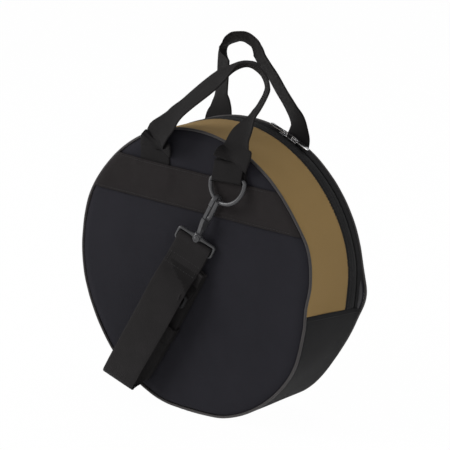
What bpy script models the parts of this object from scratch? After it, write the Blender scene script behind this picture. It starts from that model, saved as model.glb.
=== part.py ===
# Round soft case for a ten inch tambourine, standing on its edge: two padded panels, a padded side
# wall with a zipper round its upper part, two carrying handles, two D-rings and a shoulder strap that
# hangs from the front one. Metres, +Z up. The front panel faces -Y, and the origin is on the ground
# under the middle of the case.

import math

import bmesh
import bpy
from mathutils import Matrix, Vector

# Case
CASE_RADIUS = 0.150
CASE_DEPTH = 0.090
REST_FLAT_WIDTH = 0.046
SEAM_GAP = 0.0003
SEAM_ANGLE = math.radians(-8)
RING_STEP = math.radians(5)
CREASE_ANGLE = math.radians(40)
CENTRE_HEIGHT = math.sqrt(CASE_RADIUS**2 - (REST_FLAT_WIDTH / 2) ** 2)
TOP_HEIGHT = CENTRE_HEIGHT + CASE_RADIUS
FACE = CASE_DEPTH / 2

# Layers of the walls
PANEL_SKIN = 0.0014
PANEL_FOAM = 0.005
PANEL_LINING = 0.0008
GUSSET_SKIN = 0.0014
GUSSET_FOAM = 0.004
GUSSET_LINING = 0.0008
BINDING_SIZE = 0.0015

# Piping round both rims
PIPING_RADIUS = 0.0022
PIPING_STAND = 0.0014
PIPING_PROUD = 0.001
PIPING_FLOOR_CLEARANCE = 0.0002
PIPING_SIDES = 8

# Zipper, all measured across the side wall
ZIP_STRIP_WIDTH = 0.0078
ZIP_TAPE_WIDTH = 0.0051
ZIP_REAR_WIDTH = 0.0065
ZIP_SLIT = 0.0014
COIL_WIDTH = 0.0023
COIL_THICKNESS = 0.0019

# Zipper sliders
SLIDER_LENGTH = 0.010
SLIDER_HALF_WIDTH = 0.0036
SLIDER_TOP = 0.0016
SLIDER_SOLE = 0.0012
SLIDER_NECK = 0.0008
SLIDER_RIDE = 0.0007
SLIDER_MEETING_ANGLE = math.radians(65)
SLIDER_SPACE = 0.0012
BAIL_LENGTH = 0.0054
BAIL_HEIGHT = 0.0030
BAIL_WIRE = 0.0009
BAIL_THICKNESS = 0.0014
PULL_BAR = 0.0012
PULL_WIDTH = 0.0056
PULL_LENGTH = 0.020
PULL_THICKNESS = 0.0012
PULL_PLAY = 0.0003
PULL_WINDOW = 0.0042

# Webbing and the band across the panels
WEB_WIDTH = 0.038
WEB_THICKNESS = 0.0014
BAND_DROP = 0.0463
BAND_HEIGHT = 0.044
BAND_THICKNESS = 0.0012
BAND_EASE = 0.003

# Handles
HANDLE_SPACING = 0.100
HANDLE_END_DROP = 0.0302
HANDLE_END_TUCK = 0.036
HANDLE_GAP = 0.0004
FRONT_HANDLE_OFFSET = 0.0035
REAR_HANDLE_OFFSET = 0.010
FRONT_HANDLE_RISE = 0.1005
REAR_HANDLE_RISE = 0.116
HANDLE_LEAN = 0.013
HANDLE_STEPS = 4
BEND_PARTS = 5
# Each row: sideways as a share of half the spacing, height as a share of the rise, outward as a share
# of the lean, and the direction of the webbing's width as a share of a full turn.
FRONT_HANDLE_SHARES = (
    (-1.00, 0.00, 0.00, 0.500),
    (-1.00, 0.03, 0.07, 0.500),
    (-1.00, 0.08, 0.16, 0.500),
    (-0.90, 0.17, 0.32, 0.500),
    (-0.65, 0.31, 0.48, 0.510),
    (-0.30, 0.48, 0.56, 0.560),
    (0.02, 0.63, -0.28, 0.680),
    (0.55, 0.85, -0.84, 0.750),
    (1.06, 0.97, -0.95, 0.770),
    (1.55, 0.94, -0.90, 0.810),
    (1.74, 0.78, -0.65, 0.855),
    (1.58, 0.59, -0.20, 0.885),
    (1.42, 0.42, 0.25, 0.920),
    (1.26, 0.29, 0.42, 0.960),
    (1.09, 0.17, 0.30, 1.000),
    (1.00, 0.08, 0.16, 1.000),
    (1.00, 0.03, 0.07, 1.000),
    (1.00, 0.00, 0.00, 1.000),
)
REAR_HANDLE_SHARES = (
    (-1.00, 0.00, 0.00, 0.500),
    (-1.00, 0.03, 0.07, 0.500),
    (-1.00, 0.08, 0.18, 0.500),
    (-0.93, 0.16, 0.36, 0.490),
    (-0.86, 0.27, 0.60, 0.455),
    (-0.87, 0.42, 0.66, 0.385),
    (-0.92, 0.60, 0.60, 0.325),
    (-0.78, 0.85, 0.52, 0.300),
    (-0.45, 0.99, 0.50, 0.290),
    (-0.12, 0.94, 0.50, 0.290),
    (0.22, 0.78, 0.52, 0.300),
    (0.58, 0.55, 0.58, 0.315),
    (0.90, 0.38, 0.76, 0.345),
    (1.06, 0.27, 0.66, 0.415),
    (1.06, 0.17, 0.42, 0.480),
    (1.00, 0.08, 0.18, 0.500),
    (1.00, 0.03, 0.07, 0.500),
    (1.00, 0.00, 0.00, 0.500),
)

# D-rings
RING_WIRE = 0.002
RING_WIDTH = 0.046
RING_HEIGHT = 0.0285
RING_CORNER = 0.0025
RING_SIDES = 8
CORNER_STEPS = 3
RING_BAR_DROP = 0.012
RING_TILT = math.radians(13.5)
TAB_CONVERGE = 0.0035

# Snap hooks: heights are below the ring wire that the hook holds
STRAP_TILT = math.radians(30)
HOOK_PLATE = 0.004
HOOK_INNER = 0.0075
HOOK_WALL = 0.0025
HOOK_PLAY = 0.0006
HOOK_EYE_DEPTH = 0.029
HOOK_TAPER = 0.0131
GATE_LENGTH = 0.016
GATE_THICKNESS = 0.0022
GATE_PLAY = 0.0003
SHANK_RADIUS = 0.0025
SHANK_LENGTH = 0.008
BARREL_RADIUS = 0.0045
BARREL_LENGTH = 0.007
BARREL_LIP = 0.0005
SWIVEL_PLAY = 0.0003
RIVET_RADIUS = 0.0037
RIVET_HEIGHT = 0.0022
YOKE_WIDTH = 0.047
YOKE_WIRE = 0.003
YOKE_DEPTH = 0.004
YOKE_WINDOW = 0.009
ROUND_STEPS = 16

# Shoulder strap, folded up and hanging from the front snap hook
STRAP_HANG = 0.181
LOOP_PLAY = 0.0004
STRAP_BULGE = 0.013
STRAP_REAR_LAYER = 0.0075
STRAP_PITCH = 0.0024
STRAP_LAYERS = 4
# The front fall: how far down, as a share of the hang, and how far out, as a share of the bulge.
STRAP_FRONT_SHARES = ((0.28, 1.0), (0.7, 1.0))
STRAP_FOOT_SHARE = 0.8
STRAP_FRONT_STEPS = 3
STRAP_TAIL = 0.026
STACK_TOP_DROP = 0.020
STACK_BOTTOM_RISE = 0.014
SPARE_HOOK_DROP = 0.0475
SPARE_HOOK_STAND = 0.0064
KEEPER_WIDTH = 0.020
KEEPER_THICKNESS = 0.001
KEEPER_DROP = 0.112
FOLD_STEPS = 6

# Finishes: colour, roughness, metallic
NAVY_CLOTH = ((0.022, 0.021, 0.026), 0.9, 0.0)
BLACK_CLOTH = ((0.024, 0.023, 0.024), 0.9, 0.0)
BLACK_WEBBING = ((0.020, 0.019, 0.019), 0.85, 0.0)
KHAKI_CLOTH = ((0.191, 0.127, 0.053), 0.9, 0.0)
GREY_PIPING = ((0.060, 0.052, 0.050), 0.6, 0.0)
LINING_CLOTH = ((0.030, 0.029, 0.031), 0.8, 0.0)
FOAM = ((0.060, 0.060, 0.062), 0.95, 0.0)
ZIPPER = ((0.015, 0.015, 0.016), 0.6, 0.0)
BRIGHT_METAL = ((0.75, 0.75, 0.76), 0.25, 1.0)
DARK_HARDWARE = ((0.050, 0.050, 0.055), 0.35, 0.3)

# Places that follow from the sizes above
FRONT, REAR = -1, 1
CHORD_HEIGHT = CENTRE_HEIGHT + CASE_RADIUS * math.sin(SEAM_ANGLE)
PIPING_INSET = PIPING_RADIUS - PIPING_STAND
PIPING_REACH = FACE + PIPING_PROUD
PIPING_MIDDLE = PIPING_REACH - PIPING_RADIUS
PIPING_LIFT = PIPING_RADIUS + PIPING_FLOOR_CLEARANCE
PANEL_INSET = PIPING_INSET + PIPING_RADIUS + SEAM_GAP
PANEL_LIFT = PIPING_LIFT + PIPING_RADIUS + SEAM_GAP
FOAM_FACE = FACE - PANEL_SKIN - SEAM_GAP
LINING_FACE = FOAM_FACE - PANEL_FOAM - SEAM_GAP
WALL_INSET = GUSSET_SKIN + SEAM_GAP + GUSSET_FOAM + SEAM_GAP
WALL_EDGE = PIPING_MIDDLE - PIPING_RADIUS - SEAM_GAP
CAVITY_FACE = LINING_FACE - PANEL_LINING - SEAM_GAP
REAR_TAPE_EDGE = WALL_EDGE - ZIP_REAR_WIDTH
TAPE_EDGE = REAR_TAPE_EDGE - ZIP_SLIT
STRIP_EDGE = TAPE_EDGE - ZIP_TAPE_WIDTH - SEAM_GAP
KHAKI_EDGE = STRIP_EDGE - ZIP_STRIP_WIDTH - SEAM_GAP
SLIT_MIDDLE = TAPE_EDGE + ZIP_SLIT / 2
FOAM_END = SLIT_MIDDLE - SLIDER_HALF_WIDTH - 2 * SEAM_GAP
COIL_INSET = GUSSET_SKIN + SEAM_GAP
UPPER_END = math.pi - SEAM_ANGLE
LOWER_START = UPPER_END
LOWER_END = 2 * math.pi + SEAM_ANGLE
SEAM_PLAY = SEAM_GAP / 2 / CASE_RADIUS
LID_HINGE_Y = PIPING_REACH + SEAM_GAP
END_FACE = FACE + SEAM_GAP
RING_BAR_Y = END_FACE + WEB_THICKNESS + SEAM_GAP + WEB_THICKNESS + SEAM_GAP + RING_WIRE
BAND_TOP = TOP_HEIGHT - BAND_DROP
HANDLE_END_TOP = TOP_HEIGHT - HANDLE_END_DROP
RING_BAR_Z = HANDLE_END_TOP - RING_BAR_DROP
TAB_WIDTH = RING_WIDTH - 2 * (RING_WIRE + RING_CORNER + SEAM_GAP)


def clear_scene():
    for item in list(bpy.data.objects):
        bpy.data.objects.remove(item, do_unlink=True)


def finish(name, look):
    colour, roughness, metallic = look
    material = bpy.data.materials.new(name + "_finish")
    material.use_nodes = True
    shader = material.node_tree.nodes["Principled BSDF"]
    shader.inputs["Base Color"].default_value = (*colour, 1)
    shader.inputs["Roughness"].default_value = roughness
    shader.inputs["Metallic"].default_value = metallic
    return material


def pivot(name, place):
    # An empty on a joint's axis, which carries what turns about it.
    empty = bpy.data.objects.new(name, None)
    bpy.context.scene.collection.objects.link(empty)
    empty.matrix_basis = place
    return empty


def solid(name, look, corners, faces, carrier=None, frame=Matrix()):
    mesh = bpy.data.meshes.new(name)
    mesh.from_pydata(corners, [], faces)
    mesh.transform(frame)
    if carrier:
        mesh.transform(carrier.matrix_basis.inverted())
    shape = bmesh.new()
    shape.from_mesh(mesh)
    bmesh.ops.recalc_face_normals(shape, faces=shape.faces)
    shape.to_mesh(mesh)
    shape.free()
    mesh.set_sharp_from_angle(angle=CREASE_ANGLE)
    mesh.materials.append(finish(name, look))
    piece = bpy.data.objects.new(name, mesh)
    bpy.context.scene.collection.objects.link(piece)
    piece.parent = carrier
    return piece


def loft(name, look, sections, closed=False, carrier=None, frame=Matrix()):
    # Joins equal closed sections one after another, with flat ends or as an unbroken ring.
    count = len(sections[0])
    corners = [corner for section in sections for corner in section]
    faces = []
    spans = len(sections) if closed else len(sections) - 1
    for span in range(spans):
        near = span * count
        far = (span + 1) % len(sections) * count
        for i in range(count):
            j = (i + 1) % count
            faces.append((near + i, near + j, far + j, far + i))
    if not closed:
        faces.append(tuple(range(count)))
        faces.append(tuple(range(len(corners) - count, len(corners))))
    return solid(name, look, corners, faces, carrier, frame)


def prism(name, look, outline, start, end, axis="Y", carrier=None, frame=Matrix()):
    # An outline pushed along one axis; its two numbers are the other two axes in order.
    place = "XYZ".index(axis)
    sections = [
        [Vector((*corner[:place], level, *corner[place:])) for corner in outline] for level in (start, end)
    ]
    return loft(name, look, sections, carrier=carrier, frame=frame)


def combine(piece, other, operation):
    # Keeps the second shape as a hidden guide of the first.
    other.hide_render = True
    other.display_type = "WIRE"
    modifier = piece.modifiers.new(other.name, "BOOLEAN")
    modifier.operation = operation
    modifier.solver = "EXACT"
    modifier.object = other


def smooth_path(rows, steps):
    # A smooth curve through rows of numbers of any length.
    path = []
    last = len(rows) - 1
    for i in range(last):
        before, after = rows[max(i - 1, 0)], rows[min(i + 2, last)]
        start, end = rows[i], rows[i + 1]
        for step in range(steps):
            t = step / steps
            row = []
            for a, b, c, d in zip(before, start, end, after):
                slope = (c - a) / 2
                bend = (2 * a - 5 * b + 4 * c - d) / 2
                twist = (3 * b - 3 * c + d - a) / 2
                row.append(b + t * (slope + t * (bend + t * twist)))
            path.append(tuple(row))
    path.append(rows[last])
    return path


def directions(points):
    last = len(points) - 1
    return [(points[min(i + 1, last)] - points[max(i - 1, 0)]).normalized() for i in range(last + 1)]


def ribbon_sections(points, widths, thickness):
    sections = []
    for point, along, width in zip(points, directions(points), widths):
        half = (width - along * width.dot(along)).normalized() * width.length / 2
        depth = along.cross(half).normalized() * thickness / 2
        near, far = point - depth, point + depth
        sections.append([near - half, near + half, far + half, far - half])
    return sections


def side_ribbon(name, look, path, width, thickness, middle=0.0, carrier=None, frame=Matrix()):
    # A strip whose path is drawn in Y and Z and whose width lies along X.
    points = [Vector((middle, y, z)) for y, z in path]
    sections = ribbon_sections(points, [Vector((width, 0, 0))] * len(points), thickness)
    return loft(name, look, sections, carrier=carrier, frame=frame)


def arc(middle, radius, start, end, steps):
    turn = [start + (end - start) * i / steps for i in range(steps + 1)]
    return [(middle[0] + radius * math.cos(a), middle[1] + radius * math.sin(a)) for a in turn]


def flat_tube(name, look, outline, level, radius, sides, closed, carrier=None, frame=Matrix()):
    # A round wire whose path lies in a plane at one Y.
    points = [Vector((x, level, z)) for x, z in outline]
    count = len(points)
    across = Vector((0, 1, 0))
    sections = []
    for i, point in enumerate(points):
        before = points[i - 1] if closed or i else point
        after = points[(i + 1) % count] if closed or i + 1 < count else point
        outward = (after - before).normalized().cross(across)
        turns = [2 * math.pi * (k + 0.5) / sides for k in range(sides)]
        sections.append([point + radius * (outward * math.cos(a) + across * math.sin(a)) for a in turns])
    return loft(name, look, sections, closed=closed, carrier=carrier, frame=frame)


def upright_rod(name, look, radius, bottom, top, carrier=None, frame=Matrix()):
    outline = arc((0, 0), radius, 0, 2 * math.pi, ROUND_STEPS)[:-1]
    return prism(name, look, outline, bottom, top, "Z", carrier, frame)


# The rim: a circle whose foot is pressed flat


def rim_radius(angle, inset, lift):
    radius = CASE_RADIUS - inset
    depth = CENTRE_HEIGHT - lift
    fall = -math.sin(angle)
    return depth / fall if fall * radius > depth else radius


def rim_point(angle, inset, lift):
    radius = rim_radius(angle, inset, lift)
    return radius * math.cos(angle), CENTRE_HEIGHT + radius * math.sin(angle)


def rim_angles(start, end):
    # Even steps, with the two corners of the flat foot among them.
    foot = math.asin(REST_FLAT_WIDTH / 2 / CASE_RADIUS)
    corners = [a for a in (1.5 * math.pi - foot, 1.5 * math.pi + foot) if start < a < end]
    steps = math.ceil((end - start) / RING_STEP)
    even = [start + (end - start) * i / steps for i in range(steps + 1)]
    kept = [a for a in even[1:-1] if all(abs(a - corner) > RING_STEP / 4 for corner in corners)]
    return sorted([even[0], *kept, *corners, even[-1]])


def wall_arc(name, look, start, end, inset, thickness, near, far, closed=False, carrier=None):
    # A strip of the side wall between two angles and two depths.
    sections = []
    angles = rim_angles(start, end)
    for angle in angles[:-1] if closed else angles:
        x_out, z_out = rim_point(angle, inset, inset)
        x_in, z_in = rim_point(angle, inset + thickness, inset + thickness)
        ring = [(x_in, near, z_in), (x_out, near, z_out), (x_out, far, z_out), (x_in, far, z_in)]
        sections.append([Vector(corner) for corner in ring])
    return loft(name, look, sections, closed=closed, carrier=carrier)


def panel_outline(inset, lift, part="whole"):
    if part == "whole":
        return [rim_point(a, inset, lift) for a in rim_angles(0, 2 * math.pi)[:-1]]
    side = 1 if part == "lid" else -1
    cut = math.asin((CHORD_HEIGHT + side * SEAM_GAP / 2 - CENTRE_HEIGHT) / (CASE_RADIUS - inset))
    ends = (cut, math.pi - cut) if part == "lid" else (math.pi - cut, 2 * math.pi + cut)
    return [rim_point(a, inset, lift) for a in rim_angles(*ends)]


def panel_layers(prefix, side, part="whole", carrier=None):
    # Outer cloth, foam and lining of one panel.
    layers = (
        ("skin", NAVY_CLOTH, PANEL_INSET, PANEL_LIFT, FACE, PANEL_SKIN),
        ("foam", FOAM, PANEL_INSET + SEAM_GAP, PANEL_LIFT, FOAM_FACE, PANEL_FOAM),
        ("lining", LINING_CLOTH, WALL_INSET, WALL_INSET, LINING_FACE, PANEL_LINING),
    )
    for layer, look, inset, lift, face, thickness in layers:
        outline = panel_outline(inset, lift, part)
        prism(f"{prefix}_{layer}", look, outline, side * face, side * (face - thickness), carrier=carrier)


def piping(name, side, start, end, closed=False, carrier=None):
    angles = rim_angles(start, end)
    outline = [rim_point(a, PIPING_INSET, PIPING_LIFT) for a in (angles[:-1] if closed else angles)]
    flat_tube(name, GREY_PIPING, outline, side * PIPING_MIDDLE, PIPING_RADIUS, PIPING_SIDES, closed, carrier)


def side_wall():
    upper = (SEAM_ANGLE + SEAM_PLAY, UPPER_END - SEAM_PLAY)
    lower = (LOWER_START + SEAM_PLAY, LOWER_END - SEAM_PLAY)
    foam_inset = GUSSET_SKIN + SEAM_GAP
    wall_arc("khaki_gusset", KHAKI_CLOTH, *upper, 0, GUSSET_SKIN, -WALL_EDGE, KHAKI_EDGE)
    wall_arc("lower_gusset", BLACK_CLOTH, *lower, 0, GUSSET_SKIN, -WALL_EDGE, WALL_EDGE)
    wall_arc("gusset_foam_upper", FOAM, *upper, foam_inset, GUSSET_FOAM, -LINING_FACE, FOAM_END)
    wall_arc("gusset_foam_lower", FOAM, *lower, foam_inset, GUSSET_FOAM, -LINING_FACE, LINING_FACE)
    lining = (WALL_INSET, GUSSET_LINING, -CAVITY_FACE)
    wall_arc("gusset_lining_upper", LINING_CLOTH, *upper, *lining, FOAM_END)
    wall_arc("gusset_lining_lower", LINING_CLOTH, *lower, *lining, CAVITY_FACE)


def seam_bindings():
    # Narrow bound seams in the inner corners, where the lining of a panel meets that of the wall.
    inset = WALL_INSET + GUSSET_LINING + SEAM_GAP
    face = CAVITY_FACE
    whole = (0, 2 * math.pi)
    lower = (LOWER_START + SEAM_PLAY, LOWER_END - SEAM_PLAY)
    size = BINDING_SIZE
    wall_arc("front_seam_binding", BLACK_CLOTH, *whole, inset, size, -face, size - face, closed=True)
    wall_arc("rear_seam_binding", BLACK_CLOTH, *lower, inset, size, face - size, face)


def zipper(lid):
    start, end = SEAM_ANGLE + SEAM_PLAY, UPPER_END - SEAM_PLAY
    near = KHAKI_EDGE + SEAM_GAP
    wall_arc("zip_strip_front", BLACK_CLOTH, start, end, 0, GUSSET_SKIN, near, STRIP_EDGE)
    wall_arc("zip_tape_front", ZIPPER, start, end, 0, GUSSET_SKIN, STRIP_EDGE + SEAM_GAP, TAPE_EDGE)
    wall_arc("zip_tape_rear", BLACK_CLOTH, start, end, 0, GUSSET_SKIN, REAR_TAPE_EDGE, WALL_EDGE, carrier=lid)
    coil = (COIL_INSET, COIL_THICKNESS)
    coil_end = REAR_TAPE_EDGE + COIL_WIDTH
    wall_arc("zip_coil_front", ZIPPER, start, end, *coil, TAPE_EDGE - COIL_WIDTH, TAPE_EDGE)
    wall_arc("zip_coil_rear", ZIPPER, start, end, *coil, REAR_TAPE_EDGE, coil_end, carrier=lid)


def slider(side):
    # Side 1 runs to the right end of the zipper and side -1 to the left end.
    word = "right" if side > 0 else "left"
    spread = (SLIDER_LENGTH + SLIDER_SPACE) / 2 / CASE_RADIUS
    angle = SLIDER_MEETING_ANGLE - side * spread
    turn = Matrix.Translation((0, 0, CENTRE_HEIGHT)) @ Matrix.Rotation(math.pi / 2 - angle, 4, "Y")
    track = pivot(f"zip_track_{word}", Matrix.Translation((0, SLIT_MIDDLE, CENTRE_HEIGHT)))
    frame = turn @ Matrix.Translation((0, SLIT_MIDDLE, 0))
    sole_top = CASE_RADIUS - COIL_INSET - COIL_THICKNESS - SEAM_GAP
    plate_bottom = CASE_RADIUS + SLIDER_RIDE
    plate_top = plate_bottom + SLIDER_TOP
    half, neck = SLIDER_HALF_WIDTH, SLIDER_NECK / 2
    right_side = [
        (half, sole_top - SLIDER_SOLE),
        (half, sole_top),
        (neck, sole_top),
        (neck, plate_bottom),
        (half, plate_bottom),
        (half, plate_top),
    ]
    outline = right_side + [(-y, z) for y, z in reversed(right_side)]
    ends = (-SLIDER_LENGTH / 2, SLIDER_LENGTH / 2)
    body = prism(f"zip_slider_{word}", BRIGHT_METAL, outline, *ends, "X", track, frame)
    bail_top = plate_top + BAIL_HEIGHT
    seat = plate_top - SLIDER_TOP / 2
    outer, inner = BAIL_LENGTH / 2, BAIL_LENGTH / 2 - BAIL_WIRE
    under = bail_top - BAIL_WIRE
    arch = [(-outer, seat), (-outer, bail_top), (outer, bail_top), (outer, seat)]
    arch += [(inner, seat), (inner, under), (-inner, under), (-inner, seat)]
    bail_ends = (-BAIL_THICKNESS / 2, BAIL_THICKNESS / 2)
    bail = prism(f"zip_bail_{word}_guide", BRIGHT_METAL, arch, *bail_ends, "Y", track, frame)
    combine(body, bail, "UNION")
    pull(word, side, frame, plate_top + (under - plate_top) / 2)


def pull(word, side, frame, level):
    # A flat tab on a cross bar that lies in the slider's bail, pointing away from the other slider.
    place = frame @ Matrix.Translation((0, 0, level))
    hinge = pivot(f"zip_pull_hinge_{word}", place)
    bar = PULL_BAR / 2
    half = PULL_WIDTH / 2
    ends = (-PULL_THICKNESS / 2, PULL_THICKNESS / 2)
    window_end = BAIL_LENGTH / 2 + PULL_WINDOW - BAIL_WIRE
    tip = PULL_LENGTH
    nose = half / 2
    plate = [(-bar, -half), (tip - nose, -half), (tip, -nose), (tip, nose), (tip - nose, half), (-bar, half)]
    plate = [(side * x, y) for x, y in plate]
    tab = prism(f"zip_pull_{word}", BRIGHT_METAL, plate, *ends, "Z", hinge, place)
    slot = BAIL_THICKNESS / 2 + PULL_PLAY
    window = [(bar, -slot), (window_end, -slot), (window_end, slot), (bar, slot)]
    window = [(side * x, y) for x, y in window]
    deep = (-PULL_THICKNESS, PULL_THICKNESS)
    hole = prism(f"zip_pull_{word}_guide", BRIGHT_METAL, window, *deep, "Z", hinge, place)
    combine(tab, hole, "DIFFERENCE")


# Band, handles and D-rings, the same on both panels


def band(name, side, middles, carrier=None):
    # Lies on the panel and steps over the tucked handle ends.
    near = END_FACE
    over = END_FACE + WEB_THICKNESS + SEAM_GAP
    hug = WEB_WIDTH / 2 + SEAM_GAP
    inner = [(-CASE_RADIUS, near)]
    for middle in middles:
        inner += [(middle - hug - BAND_EASE, near), (middle - hug, over)]
        inner += [(middle + hug, over), (middle + hug + BAND_EASE, near)]
    inner.append((CASE_RADIUS, near))
    outline = inner + [(x, y + BAND_THICKNESS) for x, y in reversed(inner)]
    outline = [(x, side * y) for x, y in outline]
    piece = prism(name, BLACK_WEBBING, outline, BAND_TOP - BAND_HEIGHT, BAND_TOP, "Z", carrier)
    reach = (side * (FACE - PANEL_SKIN), side * (over + WEB_WIDTH))
    round_edge = panel_outline(PANEL_INSET, PANEL_LIFT)
    edge = prism(name + "_guide", BLACK_WEBBING, round_edge, *reach, carrier=carrier)
    combine(piece, edge, "INTERSECT")


def handle_end(name, side, middle, carrier=None):
    half = WEB_WIDTH / 2
    bottom = HANDLE_END_TOP - HANDLE_END_TUCK
    outline = [(middle - half, bottom), (middle + half, bottom)]
    outline += [(middle + half, HANDLE_END_TOP), (middle - half, HANDLE_END_TOP)]
    near, far = side * END_FACE, side * (END_FACE + WEB_THICKNESS)
    prism(name, BLACK_WEBBING, outline, near, far, carrier=carrier)


def handle_path(side, offset, rise, shares):
    # Rows of place and width direction from the left sewn end over to the right one.
    lift_y = END_FACE + WEB_THICKNESS / 2
    foot = HANDLE_END_TOP + HANDLE_GAP
    rows = [
        (
            offset + across * HANDLE_SPACING / 2,
            side * (lift_y + out * HANDLE_LEAN),
            foot + up * rise,
            turn,
        )
        for across, up, out, turn in shares
    ]
    path = smooth_path(rows, HANDLE_STEPS)
    points = [Vector(row[:3]) for row in path]
    turns = [2 * math.pi * row[3] for row in path]
    widths = [WEB_WIDTH * Vector((math.cos(a), math.sin(a), 0)) for a in turns]
    return points, widths


def handle(word, side, offset, rise, shares, lid=None):
    # The webbing rises from its two sewn ends, bends over the rim and forms the loop that the hand holds.
    points, widths = handle_path(side, offset, rise, shares)
    sections = ribbon_sections(points, widths, WEB_THICKNESS)
    sections[0] = levelled(sections[0], points[0].z)
    sections[-1] = levelled(sections[-1], points[-1].z)
    left_cut = BEND_PARTS * HANDLE_STEPS
    right_cut = len(points) - 1 - left_cut
    axis = (points[left_cut] + points[right_cut]) / 2
    hinge = pivot(f"{word}_handle_hinge", Matrix.Translation((0, axis.y, axis.z)))
    bend_left = sections[: left_cut + 1]
    bend_right = sections[right_cut:]
    loop = sections[left_cut : right_cut + 1]
    loop[0] = shifted(loop[0], points[left_cut + 1] - points[left_cut])
    loop[-1] = shifted(loop[-1], points[right_cut - 1] - points[right_cut])
    for spot, sheet in (("left", bend_left), ("right", bend_right)):
        loft(f"{word}_handle_bend_{spot}", BLACK_WEBBING, sheet, carrier=lid)
    loft(f"{word}_handle_loop", BLACK_WEBBING, loop, carrier=hinge)
    for spot, share in (("left", -1), ("right", 1)):
        handle_end(f"{word}_handle_end_{spot}", side, offset + share * HANDLE_SPACING / 2, lid)


def levelled(section, height):
    return [Vector((corner.x, corner.y, height)) for corner in section]


def shifted(section, towards):
    step = towards.normalized() * SEAM_GAP
    return [corner + step for corner in section]


def ring_outline(middle):
    # A D lying on its back: straight bar on top, half circle below.
    half = RING_WIDTH / 2 - RING_WIRE
    bottom = RING_BAR_Z + 2 * RING_WIRE - RING_HEIGHT
    bow = bottom + half
    left, right = middle - half, middle + half
    top = RING_BAR_Z
    corner = RING_CORNER
    outline = arc((left + corner, top - corner), corner, math.pi, math.pi / 2, CORNER_STEPS)
    outline += arc((right - corner, top - corner), corner, math.pi / 2, 0, CORNER_STEPS)
    outline += arc((middle, bow), half, 0, -math.pi, ROUND_STEPS)
    return outline


def d_ring(word, side, middle, tilt):
    # The ring hangs in its tab, and the front one is held off the panel by the hook in it.
    level = side * RING_BAR_Y
    bar = Matrix.Translation((middle, level, RING_BAR_Z))
    hinge = pivot(f"{word}_d_ring_hinge", bar)
    lean = bar @ Matrix.Rotation(side * tilt, 4, "X") @ bar.inverted()
    outline = ring_outline(middle)
    flat_tube(f"{word}_d_ring", DARK_HARDWARE, outline, level, RING_WIRE, RING_SIDES, True, hinge, lean)


def ring_tab(name, side, middle, carrier=None):
    # Webbing folded round the bar of the ring, with both layers sewn to the handle's end.
    half = WEB_THICKNESS / 2
    inner = END_FACE + WEB_THICKNESS + SEAM_GAP + half
    outer = inner + WEB_THICKNESS + SEAM_GAP
    radius = RING_BAR_Y - inner
    top = HANDLE_END_TOP - SEAM_GAP
    bar = (RING_BAR_Y, RING_BAR_Z)
    meet = (outer, top - TAB_CONVERGE)
    reach = (meet[0] - bar[0], meet[1] - bar[1])
    leave = math.atan2(reach[1], reach[0]) - math.acos(radius / math.hypot(*reach))
    path = [(inner, top), (inner, (top + bar[1]) / 2)]
    path += arc(bar, radius, -math.pi, leave, FOLD_STEPS)
    path += [meet, (outer, top)]
    path = [(side * y, z) for y, z in path]
    side_ribbon(name, BLACK_WEBBING, path, TAB_WIDTH, WEB_THICKNESS, middle, carrier)


# Snap hooks


def hook_heights():
    stem_top = -HOOK_EYE_DEPTH - HOOK_TAPER
    barrel_top = stem_top - SHANK_LENGTH + BARREL_LENGTH
    barrel_bottom = barrel_top - BARREL_LENGTH
    window_top = barrel_bottom
    bar_top = window_top - YOKE_WINDOW
    return stem_top, barrel_top, barrel_bottom, bar_top


def hook_outline():
    # Seen from its side: a C whose gap on the left is closed by the gate, tapering down to the stem.
    inner = HOOK_INNER / 2
    outer = inner + HOOK_WALL
    crown = RING_WIRE + HOOK_PLAY - inner
    base = inner - HOOK_EYE_DEPTH + HOOK_WALL
    gap_bottom = base
    gap_top = gap_bottom + GATE_LENGTH
    stem_top = hook_heights()[0]
    outline = [(-outer, gap_top)]
    outline += arc((0, crown), outer, math.pi, 0, ROUND_STEPS // 2)
    outline += [(outer, -HOOK_EYE_DEPTH + HOOK_WALL), (SHANK_RADIUS + SEAM_GAP, stem_top)]
    outline += [(-SHANK_RADIUS - SEAM_GAP, stem_top), (-outer, -HOOK_EYE_DEPTH + HOOK_WALL)]
    outline += [(-outer, gap_bottom), (-inner, gap_bottom)]
    outline += arc((0, base), inner, math.pi, 2 * math.pi, ROUND_STEPS // 2)[1:]
    outline += arc((0, crown), inner, 0, math.pi, ROUND_STEPS // 2)
    outline += [(-inner, gap_top)]
    return outline, gap_bottom, gap_top


def snap_hook(prefix, yoke_frame, hook_frame):
    # The hook turns in the barrel of the yoke, and the strap hangs from the yoke's far bar.
    stem_top, barrel_top, barrel_bottom, bar_top = hook_heights()
    outline, gap_bottom, gap_top = hook_outline()
    swing = pivot(f"{prefix}_swing", hook_frame)
    half = HOOK_PLATE / 2
    body = prism(f"{prefix}_body", DARK_HARDWARE, outline, -half, half, "X", swing, hook_frame)
    rivet_top = barrel_bottom - SWIVEL_PLAY
    rivet_bottom = rivet_top - RIVET_HEIGHT
    shank_ends = (rivet_top - RIVET_HEIGHT / 2, stem_top + HOOK_TAPER / 2)
    rods = (("shank", SHANK_RADIUS, *shank_ends), ("rivet", RIVET_RADIUS, rivet_bottom, rivet_top))
    for word, radius, low, high in rods:
        rod = upright_rod(f"{prefix}_{word}_guide", DARK_HARDWARE, radius, low, high, swing, hook_frame)
        combine(body, rod, "UNION")
    gate(prefix, hook_frame, gap_bottom, gap_top)
    yoke(prefix, yoke_frame, barrel_top, barrel_bottom, bar_top)


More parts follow.
